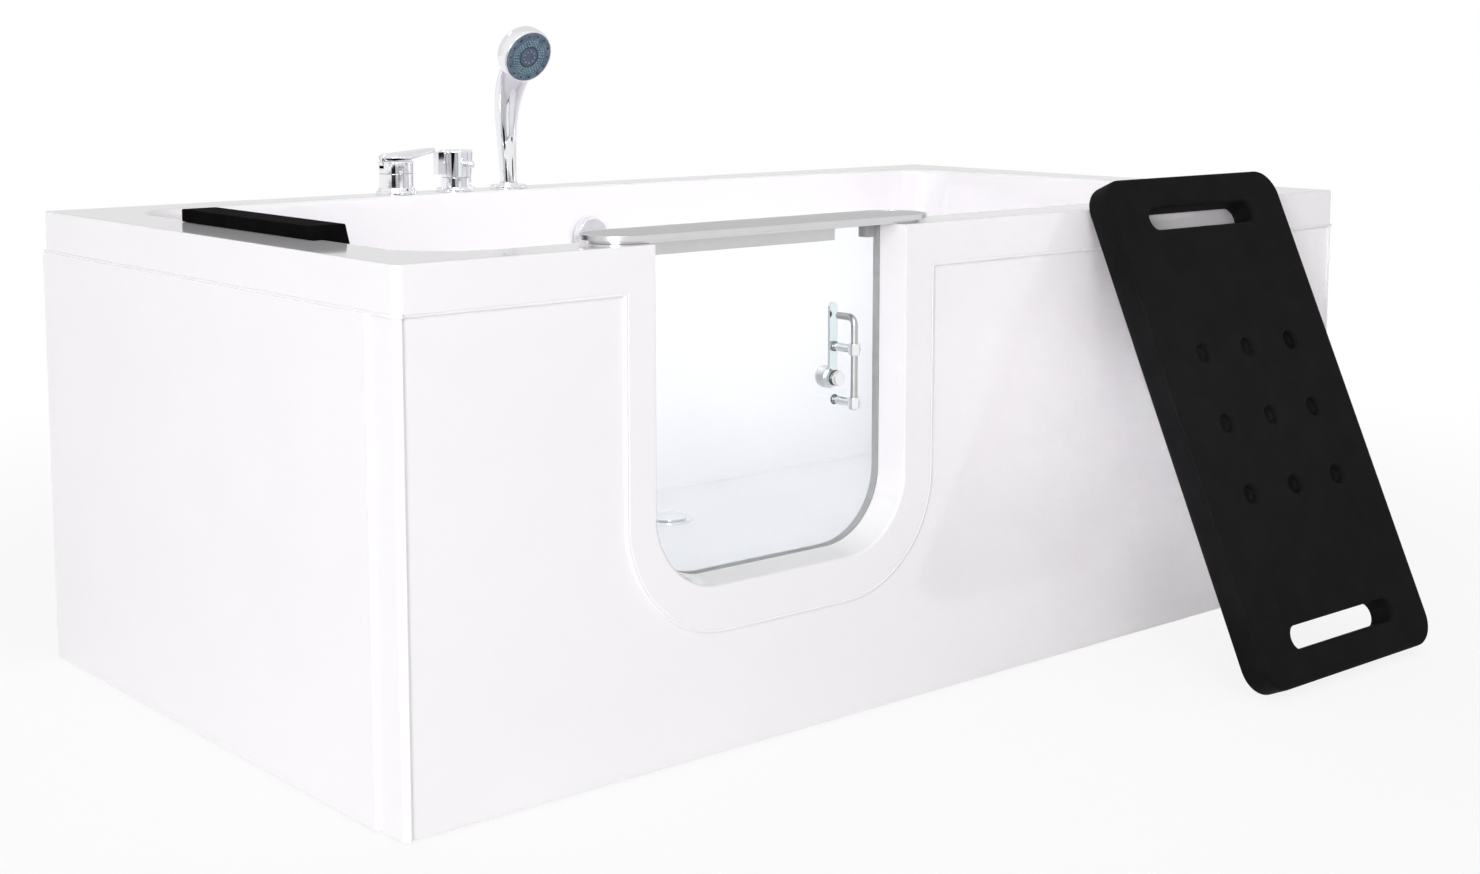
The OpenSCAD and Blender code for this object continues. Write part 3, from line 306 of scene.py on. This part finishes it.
def moulded(name, mesh, width, steps=2, sharp=28.0, face=None, face_width=0.0):
    """A piece from a mesh with its flat faces joined up and its sharp edges rounded by width metres.
    Edges whose two ends pass the test face are rounded first, by face_width."""
    work = bmesh.new()
    work.from_mesh(mesh)
    bmesh.ops.remove_doubles(work, verts=work.verts, dist=merge_gap)
    bmesh.ops.dissolve_limit(work, angle_limit=math.radians(flat_turn), verts=work.verts, edges=work.edges)
    if face:
        chosen = [e for e in sharp_edges(work, face_turn) if face(e.verts[0].co) and face(e.verts[1].co)]
        round_edges(work, chosen, face_width, face_steps)
    if width > 0:
        round_edges(work, sharp_edges(work, sharp), width, steps)
    for polygon in work.faces:
        polygon.smooth = True
    for edge in work.edges:
        edge.smooth = len(edge.link_faces) != 2 or edge.calc_face_angle(0) < math.radians(smooth_turn)
    work.to_mesh(mesh)
    work.free()
    draft = placed(name + "_draft", mesh)
    shade = draft.modifiers.new("even_shade", "WEIGHTED_NORMAL")
    shade.keep_sharp = True
    piece = placed(name, finished(draft))
    bpy.data.objects.remove(draft)
    return piece


def dress(piece, material, body, slot, *stands_for):
    """Gives a piece its finish, the body that it moves with and the nodes that it stands for."""
    piece.data.materials.clear()
    piece.data.materials.append(material)
    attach(piece, body)
    if stands_for:
        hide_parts(*stands_for)
    return piece


def coat(material, *names):
    """Gives CAD nodes whose shape is right their finish."""
    for name in names:
        mesh = nodes[name].data
        mesh.materials.clear()
        mesh.materials.append(material)


tub_low, tub_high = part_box("tub_shell")
# Just behind the moulding's front face, and just under the rim's top
hair = 0.0001
front_plane = tub_low.y + hair
under_rim = tub_high.z - hair
mould_edge = 0.0018
front_edge = 0.0035


def on_front_face(point):
    """The doorway's raised face and the lower edge of the rim's band."""
    return point.y < front_plane and point.z < under_rim


white_acrylic = mottle(
    finish_of("white_acrylic", (0.93, 0.908, 0.934), 0.10, Coat_Weight=0.25, Coat_Roughness=0.03, IOR=1.49),
    6.0, (0.922, 0.900, 0.926), (0.938, 0.916, 0.942), bump=0.02, bump_scale=18.0, rough=(0.08, 0.13),
)
tub_mesh = joined("tub_shell", "door_surround")
dress(
    moulded("tub_moulding", tub_mesh, mould_edge, face=on_front_face, face_width=front_edge),
    white_acrylic, "tub", "acrylic", "tub_shell", "door_surround",
)

# ---------- Apron and end panels ----------
# Separate sheets of the same acrylic, clipped to the frame under the rim's band.
# The apron is cut round the raised doorway moulding; thin seams show where the sheets meet.
sheet_edge = 0.0008
for panel in ("front_apron", "left_end_panel", "right_end_panel"):
    dress(moulded(panel + "_sheet", joined(panel), sheet_edge), white_acrylic, "tub", "acrylic", panel)

# ---------- Sealant beads, painted highlights ---
# Fine white beads, taken for sanitary sealant, fill the joints between the moulding and the loose panels:
# round the raised doorway, under the rim's band and down each corner of the end panels.
# They cover the joints' dark shade and paint the light lines that the rounded edges catch: painted highlight.
bead_radius = 0.0025
bead_sides = 10
# Under the rim's band the beads lie in the seam above the apron and the end panels
apron_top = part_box("front_apron")[1].z
panel_low, panel_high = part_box("right_end_panel")
seam, inset = 0.0003, 0.0002
band_foot = apron_top + seam
panel_foot = panel_low.z
tub_end, tub_front = tub_high.x + seam, tub_low.y + inset
panel_front, panel_back = panel_low.y - inset, panel_high.y
corner_turn, turn_steps = 0.008, 6
end_drift = 0.0005
# Round the doorway one bead lies beside the raised moulding, whose box also holds the leaf's pocket
surround_low, surround_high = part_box("door_surround")
surround_width, moulding_corner = 0.499, 0.15
beside, field_depth = 0.00025, 0.0026
field_y = tub_low.y + field_depth
surround_right = surround_high.x + beside
surround_left = surround_right - surround_width - 2 * beside
surround_foot = surround_low.z - beside
surround_corner, corner_steps = moulding_corner + beside, 16


def arc(centre, radius, start, stop, steps):
    """Points of a level or upright arc, in its own plane, from one angle to another in degrees."""
    turns = [math.radians(start + (stop - start) * k / steps) for k in range(steps + 1)]
    return [(centre[0] + radius * math.cos(a), centre[1] + radius * math.sin(a)) for a in turns]


def bead_tree(name, radius, material):
    """Geometry nodes that sweep a round bead along the edges of a mesh."""
    tree = bpy.data.node_groups.new(name, "GeometryNodeTree")
    tree.interface.new_socket("Geometry", in_out="INPUT", socket_type="NodeSocketGeometry")
    tree.interface.new_socket("Geometry", in_out="OUTPUT", socket_type="NodeSocketGeometry")
    size = tree.interface.new_socket("Bead Radius", in_out="INPUT", socket_type="NodeSocketFloat")
    size.default_value = radius
    entry = tree.nodes.new("NodeGroupInput")
    path = tree.nodes.new("GeometryNodeMeshToCurve")
    section = node_of(tree, "GeometryNodeCurvePrimitiveCircle", Resolution=bead_sides)
    sweep = tree.nodes.new("GeometryNodeCurveToMesh")
    sweep.inputs["Fill Caps"].default_value = True
    real = tree.nodes.new("GeometryNodeRealizeInstances")
    paint_all = node_of(tree, "GeometryNodeSetMaterial")
    paint_all.inputs["Material"].default_value = material
    leave = tree.nodes.new("NodeGroupOutput")
    tree.links.new(entry.outputs["Geometry"], path.inputs["Mesh"])
    tree.links.new(entry.outputs["Bead Radius"], section.inputs["Radius"])
    tree.links.new(path.outputs["Curve"], sweep.inputs["Curve"])
    tree.links.new(section.outputs["Curve"], sweep.inputs["Profile Curve"])
    tree.links.new(sweep.outputs["Mesh"], real.inputs["Geometry"])
    tree.links.new(real.outputs["Geometry"], paint_all.inputs["Geometry"])
    tree.links.new(paint_all.outputs["Geometry"], leave.inputs["Geometry"])
    return tree, size.identifier


def bead(name, route, radius, material):
    """A bead along a route of points: sealant that also paints a highlight line and hides a joint's shade."""
    line = bpy.data.meshes.new(name + "_line")
    line.from_pydata(route, [(k, k + 1) for k in range(len(route) - 1)], [])
    seed = placed(name + "_seed", line)
    tree, identifier = bead_tree(name, radius, material)
    run = seed.modifiers.new("run", "NODES")
    run.node_group = tree
    run[identifier] = radius
    mesh = finished(seed)
    bpy.data.objects.remove(seed)
    mesh.shade_smooth()
    return dress(placed(name, mesh), material, "tub", "acrylic")


# The beads' white covers the joints' shade and paints the edges' highlight lines: painted highlight.
highlight_sealant = mottle(
    finish_of("highlight_sealant", (0.93, 0.92, 0.94), 0.42, Coat_Weight=0.1),
    30.0, (0.925, 0.915, 0.935), (0.94, 0.93, 0.95), rough=(0.38, 0.46),
)
inner_left, inner_right = surround_left + surround_corner, surround_right - surround_corner
low_centre = surround_foot + surround_corner
doorway_line = (
    [(surround_left, band_foot)]
    + arc((inner_left, low_centre), surround_corner, 180, 270, corner_steps)
    + arc((inner_right, low_centre), surround_corner, 270, 360, corner_steps)
    + [(surround_right, band_foot)]
)
bead("doorway_bead", [(x, field_y, z) for x, z in doorway_line], bead_radius, highlight_sealant)
for name, side, start in (("head", -1, surround_left), ("foot", 1, surround_right)):
    turn_x, turn_y = side * (tub_end - corner_turn), tub_front + corner_turn
    bend = arc((0, 0), corner_turn, -90, 0, turn_steps)
    front_line = [(start, field_y, band_foot), (turn_x, field_y, band_foot)]
    corner_line = [(turn_x + side * x, turn_y + y, band_foot) for x, y in bend]
    end_line = [
        (side * tub_end, panel_front, band_foot), (side * (tub_end + end_drift), panel_back, band_foot),
    ]
    bead(name + "_band_bead", front_line, bead_radius, highlight_sealant)
    bead(name + "_end_bead", corner_line + end_line, bead_radius, highlight_sealant)
    upright = [(side * tub_end, panel_front, z) for z in (panel_foot, band_foot)]
    bead(name + "_corner_bead", upright, bead_radius, highlight_sealant)

# ---------- Under-frame ----------
# A chipboard plate bonded under the floor, on painted steel tubes with zinc-plated levelling feet.
# These hidden pieces keep their CAD shapes and only get their finishes, as small screws and seals do.
chipboard = mottle(
    finish_of("chipboard", (0.62, 0.47, 0.30), 0.75),
    90.0, (0.50, 0.36, 0.22), (0.70, 0.56, 0.38), bump=0.25, bump_scale=140.0,
)
grey_paint = mottle(
    finish_of("grey_frame_paint", (0.33, 0.35, 0.37), 0.42),
    30.0, (0.30, 0.32, 0.34), (0.36, 0.38, 0.40), bump=0.08, bump_scale=240.0,
)
zinc_plate = mottle(
    finish_of("zinc_plate", (0.62, 0.63, 0.64), 0.34, metallic=1.0),
    60.0, (0.55, 0.56, 0.58), (0.68, 0.69, 0.70), rough=(0.28, 0.42),
)
black_rubber = mottle(
    finish_of("black_rubber", (0.018, 0.018, 0.019), 0.62),
    70.0, (0.014, 0.014, 0.015), (0.026, 0.026, 0.028), bump=0.12, bump_scale=400.0,
)
coat(chipboard, "base_board")
coat(grey_paint, "long_rails", "cross_rails", "end_rails", "rim_uprights")
coat(zinc_plate, "foot_studs", "foot_nuts", "bracket_screws", "keeper_screws", "stile_screws", "lever_pin")
coat(black_rubber, "foot_pads", "panel_clips", "waste_gasket", "lift_cable")

# ---------- Cap rail ----------
# A satin anodised plate lies in a brighter aluminium ring that bridges the rim over the doorway.
# The plate is coloured darker than the channel's same satin aluminium: painted shade on its top,
# which holds its glancing reflection down to a mid grey. The ring shows round the plate as a thin light line.
cap_edge = 0.0008
ring_edge = 0.0005
# Painted shade: the plate's top is darker than the same satin metal elsewhere.
shaded_satin_plate = mottle(
    finish_of("shaded_satin_plate", (0.50, 0.495, 0.505), 0.38, metallic=1.0),
    40.0, (0.485, 0.48, 0.49), (0.52, 0.515, 0.525), bump=0.05, bump_scale=300.0, rough=(0.32, 0.42),
)
cap_plate = moulded("cap_plate", joined("cap_rail"), cap_edge)
dress(cap_plate, shaded_satin_plate, "tub", "satin_aluminium", "cap_rail")
bright_ring = mottle(
    finish_of("bright_ring", (0.66, 0.66, 0.67), 0.26, metallic=1.0),
    40.0, (0.65, 0.65, 0.66), (0.675, 0.675, 0.685), rough=(0.23, 0.29),
)
cap_ring = moulded("cap_ring", joined("cap_trim"), ring_edge)
dress(cap_ring, bright_ring, "tub", "satin_aluminium", "cap_trim")

# ---------- Door leaf ----------
# Toughened clear glass with a grey gasket, an aluminium channel on its top edge and a hinge stile.
# A solid rubber block closes the channel's end beside the latch.
glass_edge, rubber_edge = 0.0006, 0.0009
channel_edge, stile_edge = 0.0005, 0.0006
satin = mottle(
    finish_of("satin_aluminium", (0.62, 0.615, 0.625), 0.38, metallic=1.0),
    40.0, (0.605, 0.60, 0.61), (0.64, 0.635, 0.645), bump=0.05, bump_scale=300.0, rough=(0.32, 0.42),
)
clear_glass = finish_of("clear_glass", (0.945, 1.0, 1.0), 0.0, IOR=1.2, Transmission_Weight=1.0)
grey_rubber = mottle(
    finish_of("grey_seal_rubber", (0.42, 0.42, 0.43), 0.55),
    60.0, (0.39, 0.39, 0.40), (0.45, 0.45, 0.46), bump=0.10, bump_scale=400.0,
)
dress(
    moulded("glass_pane", joined("door_glass"), glass_edge),
    clear_glass, "door_leaf", "clear_glass", "door_glass",
)
dress(
    moulded("door_gasket", joined("door_seal"), rubber_edge),
    grey_rubber, "door_leaf", "black_rubber", "door_seal",
)


def brick(name, low, high):
    """A plain block between two corners."""
    work = bmesh.new()
    bmesh.ops.create_cube(work, size=1)
    middle, span = (low + high) / 2, high - low
    work.transform(Matrix.Translation(middle) @ Matrix.Diagonal((*span, 1)))
    mesh = bpy.data.meshes.new(name)
    work.to_mesh(mesh)
    work.free()
    return mesh


block_low, block_high = (Vector(corner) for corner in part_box("end_block"))
dress(
    moulded("top_stop_block", brick("stop_block", block_low, block_high), rubber_edge),
    grey_rubber, "door_leaf", "black_rubber", "end_block",
)
dress(
    moulded("top_channel_bar", joined("top_channel"), channel_edge),
    satin, "door_leaf", "satin_aluminium", "top_channel",
)
dress(
    moulded("hinge_stile_bar", joined("hinge_stile"), stile_edge),
    satin, "door_leaf", "satin_aluminium", "hinge_stile",
)

# ---------- Hinge, latch and pull bar ----------
# Turned and polished brass parts under bright chrome; the bar and the knob are brushed to a satin.
# The latch turns in a white nylon bush through the glass and catches behind its keeper.
fine_edge = 0.0005
chrome = mottle(
    finish_of("polished_chrome", (0.86, 0.87, 0.89), 0.05, metallic=1.0),
    12.0, (0.84, 0.85, 0.87), (0.88, 0.89, 0.91), rough=(0.035, 0.075),
)
brushed = mottle(
    finish_of("brushed_steel", (0.50, 0.505, 0.515), 0.34, metallic=1.0),
    60.0, (0.48, 0.485, 0.495), (0.53, 0.535, 0.545), rough=(0.28, 0.40),
)
for node, body in (
    ("hinge_rod", "tub"), ("hinge_brackets", "tub"), ("keeper", "tub"),
    ("bar_clamps", "door_leaf"), ("clamp_bolts", "door_leaf"),
    ("latch_spindle", "latch"), ("latch_arm", "latch"),
):
    dress(moulded(node + "_bright", joined(node), fine_edge), chrome, body, "bright_chrome", node)
pale_brushed = mottle(
    finish_of("pale_brushed_steel", (0.74, 0.74, 0.75), 0.32, metallic=1.0),
    60.0, (0.72, 0.72, 0.73), (0.76, 0.76, 0.77), rough=(0.26, 0.38),
)
for node, body, material in (("pull_bar", "door_leaf", brushed), ("latch_knob", "latch", pale_brushed)):
    dress(moulded(node + "_brushed", joined(node), fine_edge), material, body, "bright_chrome", node)
nylon = mottle(
    finish_of("white_nylon", (0.80, 0.80, 0.79), 0.4), 40.0, (0.77, 0.77, 0.76), (0.82, 0.82, 0.81)
)
coat(nylon, "spindle_bush")

# ---------- Taps and hand shower ----------
# Chrome-plated brass bodies on the back rim; the hand shower stands in its deck holder.
# The mixer's lever and cap, the diverter's handle and the hand shower each move on their own.
tap_edge = 0.0006
for node, body in (
    ("mixer_body", "tub"), ("mixer_cap", "mixer_turret"), ("mixer_lever", "lever"),
    ("diverter_body", "tub"), ("diverter_handle", "diverter"),
    ("shower_holder", "tub"), ("shower_handset", "handset"),
):
    dress(moulded(node + "_bright", joined(node), tap_edge), chrome, body, "bright_chrome", node)

# ---------- Spray face ----------
# A dished disc of smoky blue plastic in the chrome head, with a raised hub.
# Rings of soft silicone nozzles stand on it, and dark pads stud its rim.
# Profiles are pairs of radius and height; a ring is a count and a radius.
face_low, face_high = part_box("spray_face")
face_middle = (face_low + face_high) / 2
face_y = 0.3625
head_place = (face_middle.x, face_y, face_middle.z)
face_tilt = 22
head_turn = math.radians(90 + face_tilt)
face_profile = (
    (0.0, 0.0006), (0.0165, 0.0006), (0.0180, 0.0012),
    (0.0290, 0.0014), (0.0308, 0.0008), (0.0318, 0.0016), (0.0370, 0.0020), (0.0392, 0.0014),
    (0.0400, 0.0004), (0.0400, -0.0008), (0.0, -0.0008),
)
hub_profile = (
    (0.0, 0.0028), (0.0105, 0.0026), (0.0135, 0.0020), (0.0146, 0.0009), (0.0146, 0.0004), (0.0, 0.0004),
)
groove_profile = (
    (0.0146, 0.0004), (0.0146, 0.0009), (0.0172, 0.0010), (0.0172, 0.0004), (0.0146, 0.0004),
)
nozzle_rings = ((24, 0.0196), (30, 0.0232), (36, 0.0268))
hub_ring = (9, 0.0095)
pad_ring = (14, 0.0345)
nozzle_sides = 10
nozzle_taper = 0.65
disc_sides = 64


def turned(name, profile, sides):
    """A closed turned shape: a profile of radius and height spun about Z."""
    work = bmesh.new()
    rings = []
    for radius, height in profile:
        if radius == 0:
            rings.append([work.verts.new((0, 0, height))])
            continue
        turn = [2 * math.pi * k / sides for k in range(sides)]
        rings.append([work.verts.new((radius * math.cos(a), radius * math.sin(a), height)) for a in turn])
    for low, high in zip(rings, rings[1:]):
        for k in range(sides):
            after = (k + 1) % sides
            corners = [low[k % len(low)], low[after % len(low)], high[after % len(high)], high[k % len(high)]]
            kept = list(dict.fromkeys(corners))
            if len(kept) > 2:
                work.faces.new(kept)
    bmesh.ops.recalc_face_normals(work, faces=work.faces)
    for polygon in work.faces:
        polygon.smooth = True
    mesh = bpy.data.meshes.new(name)
    work.to_mesh(mesh)
    work.free()
    return mesh


def nozzle_tree(name, rings, radius, height, material):
    """Geometry nodes that set rows of short cones on circles, one circle for each ring."""
    tree = bpy.data.node_groups.new(name, "GeometryNodeTree")
    tree.interface.new_socket("Geometry", in_out="OUTPUT", socket_type="NodeSocketGeometry")
    sizes = {}
    for label, value in (("Nozzle Radius", radius), ("Nozzle Height", height)):
        socket = tree.interface.new_socket(label, in_out="INPUT", socket_type="NodeSocketFloat")
        socket.default_value = value
        sizes[label] = (socket.identifier, value)
    entry = tree.nodes.new("NodeGroupInput")
    cone = node_of(tree, "GeometryNodeMeshCone", Vertices=nozzle_sides)
    taper = node_of(tree, "ShaderNodeMath", operation="MULTIPLY")
    taper.inputs[1].default_value = nozzle_taper
    tree.links.new(entry.outputs["Nozzle Radius"], cone.inputs["Radius Bottom"])
    tree.links.new(entry.outputs["Nozzle Radius"], taper.inputs[0])
    tree.links.new(taper.outputs[0], cone.inputs["Radius Top"])
    tree.links.new(entry.outputs["Nozzle Height"], cone.inputs["Depth"])
    gather = tree.nodes.new("GeometryNodeJoinGeometry")
    for count, reach in rings:
        circle = node_of(tree, "GeometryNodeMeshCircle", Vertices=count, Radius=reach)
        spots = tree.nodes.new("GeometryNodeInstanceOnPoints")
        tree.links.new(circle.outputs["Mesh"], spots.inputs["Points"])
        tree.links.new(cone.outputs["Mesh"], spots.inputs["Instance"])
        tree.links.new(spots.outputs["Instances"], gather.inputs["Geometry"])
    real = tree.nodes.new("GeometryNodeRealizeInstances")
    paint_all = node_of(tree, "GeometryNodeSetMaterial")
    paint_all.inputs["Material"].default_value = material
    leave = tree.nodes.new("NodeGroupOutput")
    tree.links.new(gather.outputs["Geometry"], real.inputs["Geometry"])
    tree.links.new(real.outputs["Geometry"], paint_all.inputs["Geometry"])
    tree.links.new(paint_all.outputs["Geometry"], leave.inputs["Geometry"])
    return tree, sizes


def grown(name, tree, sizes):
    """The plain mesh that a geometry tree gives."""
    seed = placed(name + "_seed", bpy.data.meshes.new(name + "_seed"))
    grow = seed.modifiers.new("grow", "NODES")
    grow.node_group = tree
    for identifier, value in sizes.values():
        grow[identifier] = value
    mesh = finished(seed)
    bpy.data.objects.remove(seed)
    return mesh


at_head = Matrix.Translation(head_place) @ Matrix.Rotation(head_turn, 4, "X")
spray_blue = mottle(
    finish_of("spray_face_plastic", (0.095, 0.15, 0.20), 0.32),
    90.0, (0.06, 0.10, 0.15), (0.14, 0.20, 0.26), rough=(0.26, 0.40),
)
hub_blue = mottle(
    finish_of("spray_hub_plastic", (0.08, 0.115, 0.17), 0.3), 120.0, (0.06, 0.09, 0.14), (0.105, 0.14, 0.20)
)
nozzle_teal = mottle(
    finish_of("nozzle_silicone", (0.17, 0.40, 0.42), 0.45), 200.0, (0.12, 0.30, 0.33), (0.30, 0.55, 0.56)
)
nozzle_grey = mottle(
    finish_of("hub_nozzle_silicone", (0.33, 0.40, 0.47), 0.4), 200.0, (0.20, 0.26, 0.33), (0.45, 0.52, 0.58)
)
pad_dark = mottle(
    finish_of("dark_pad", (0.012, 0.022, 0.038), 0.5), 200.0, (0.008, 0.016, 0.03), (0.018, 0.03, 0.05)
)
groove_blue = mottle(
    finish_of("spray_groove_plastic", (0.045, 0.070, 0.105), 0.4),
    120.0, (0.035, 0.058, 0.09), (0.055, 0.082, 0.12),
)
for name, profile, material, stands_for in (
    ("spray_disc", face_profile, spray_blue, ("spray_face",)), ("spray_hub", hub_profile, hub_blue, ()),
    ("spray_groove", groove_profile, groove_blue, ()),
):
    spray_mesh = turned(name, profile, disc_sides)
    spray_mesh.transform(at_head)
    dress(placed(name, spray_mesh), material, "handset", "spray_plastic", *stands_for)
for name, rings, radius, height, level, material in (
    ("spray_nozzles", nozzle_rings, 0.0011, 0.0012, 0.0012, nozzle_teal),
    ("hub_nozzles", (hub_ring,), 0.0012, 0.0010, 0.0022, nozzle_grey),
    ("spray_pads", (pad_ring,), 0.0019, 0.0010, 0.0016, pad_dark),
):
    dots = grown(name, *nozzle_tree(name, rings, radius, height, material))
    dots.transform(at_head @ Matrix.Translation((0, 0, level)))
    dress(placed(name, dots), material, "handset", "spray_plastic")

# ---------- Shower head cup ----------
# The head's chrome cup stands round the spray face, full at its front edge and domed at the back.
# It covers the thinner head of the CAD hand shower and moves with it.
cup_sides = 96
cup_profile = (
    (0.0, -0.0385), (0.0170, -0.0375), (0.0300, -0.0345), (0.0385, -0.0290), (0.0424, -0.0225),
    (0.0437, -0.0150), (0.0430, -0.0040), (0.0422, -0.0006), (0.0412, 0.0003), (0.0403, 0.0003),
    (0.0, 0.0003),
)
cup_mesh = turned("shower_head_cup", cup_profile, cup_sides)
cup_mesh.transform(at_head)
dress(placed("shower_head_cup", cup_mesh), chrome, "handset", "bright_chrome")

# ---------- Water ways ----------
# Copper tails and links under the deck, brass back nuts, and white waste fittings.
# The overflow's control and the waste's flange and plug are bright like the taps.
copper = mottle(
    finish_of("drawn_copper", (0.72, 0.38, 0.24), 0.28, metallic=1.0),
    30.0, (0.60, 0.30, 0.19), (0.78, 0.43, 0.28), rough=(0.22, 0.40),
)
brass = mottle(
    finish_of("turned_brass", (0.70, 0.56, 0.28), 0.30, metallic=1.0),
    40.0, (0.64, 0.50, 0.24), (0.74, 0.60, 0.32), rough=(0.25, 0.36),
)
pipe_white = mottle(
    finish_of("waste_pipe_plastic", (0.80, 0.80, 0.79), 0.42), 25.0, (0.77, 0.77, 0.76), (0.82, 0.82, 0.81)
)
coat(copper, "mixer_tails", "link_pipe", "fill_pipe")
coat(brass, "tap_nuts")
coat(pipe_white, "overflow_elbow", "overflow_pipe", "waste_body", "waste_trap")
for node, body in (
    ("overflow_plate", "tub"), ("overflow_knob", "overflow_control"),
    ("waste_flange", "tub"), ("popup_plug", "plug"),
):
    dress(moulded(node + "_bright", joined(node), tap_edge), chrome, body, "bright_chrome", node)

# ---------- Pillow ----------
# Self-skinned black polyurethane foam, matt and finely grained: a crisp slab on the rim, with a flap
# that lies down the backrest. Its section is in X and Z; the end towards the door steps in above the rim.
pillow_door_end = {"low": -0.169, "top": -0.161}
pillow_wall_end = 0.172
pillow_top = 0.64
pillow_edge = 0.0016
pillow_steps = 3
pillow_section = (
    (-0.7840, 0.6304), (-0.7840, 0.6470), (-0.7350, 0.6470), (-0.7350, 0.6250), (-0.7219, 0.5800),
    (-0.7126, 0.5510), (-0.7376, 0.5450), (-0.7489, 0.5800), (-0.7593, 0.6140), (-0.7640, 0.6304),
)


def slab(name, section, near_end, far_end):
    """A straight slab across the bath: a section in X and Z between two depths, each a function of Z."""
    work = bmesh.new()
    sides = [[work.verts.new((x, end(z), z)) for x, z in section] for end in (near_end, far_end)]
    for end in sides:
        work.faces.new(end)
    for k in range(len(section)):
        after = (k + 1) % len(section)
        work.faces.new((sides[0][k], sides[0][after], sides[1][after], sides[1][k]))
    bmesh.ops.recalc_face_normals(work, faces=work.faces)
    mesh = bpy.data.meshes.new(name)
    work.to_mesh(mesh)
    work.free()
    return mesh


pillow_slab = slab(
    "pillow_slab", pillow_section,
    lambda z: pillow_door_end["top" if z > pillow_top else "low"], lambda z: pillow_wall_end,
)
pillow_skin = mottle(
    finish_of("pillow_foam_skin", (0.004, 0.0035, 0.004), 0.8, Specular_IOR_Level=0.01),
    25.0, (0.003, 0.0025, 0.003), (0.006, 0.0055, 0.006), bump=0.15, bump_scale=500.0, rough=(0.74, 0.86),
)
pillow = dress(
    moulded("head_pillow", pillow_slab, pillow_edge, pillow_steps),
    pillow_skin, "pillow", "black_foam", "bath_pillow",
)

# ---------- Bath board ----------
# The same foam with a slightly glossier skin, moulded with softly rounded edges.
# It leans on the front rim; its nine dimples and two grip slots come from the CAD shape.
board_edge = 0.005
board_steps = 4
black_skin = mottle(
    finish_of("black_foam_skin", (0.006, 0.0055, 0.006), 0.7, Specular_IOR_Level=0.05),
    25.0, (0.0045, 0.004, 0.0045), (0.008, 0.0075, 0.008), bump=0.15, bump_scale=500.0, rough=(0.62, 0.76),
)
dress(
    moulded("leaning_board", joined("bath_board"), board_edge, board_steps),
    black_skin, "board", "black_foam", "bath_board",
)

# ---------- Rim button: a painted reflection ---
# A small chrome dome on the rim, beside the end of the cap rail: a painted reflection that stands for
# the glint of the hinge's end in the glossy rim. It is a low turned dome, 7 mm wide.
glint_dome_sides = 32
# Where the hinge end's glint lies on the rim's front edge: painted reflection.
glint_dome_place = (-0.605, -0.4535, tub_high.z)
glint_dome_profile = ((0.0, 0.0012), (0.0022, 0.0011), (0.0032, 0.0006), (0.0036, 0.0), (0.0, 0.0))
glint_dome_mesh = turned("rim_glint_dome", glint_dome_profile, glint_dome_sides)
glint_dome_mesh.transform(Matrix.Translation(glint_dome_place))
dress(placed("rim_glint_dome", glint_dome_mesh), chrome, "tub", "bright_chrome")
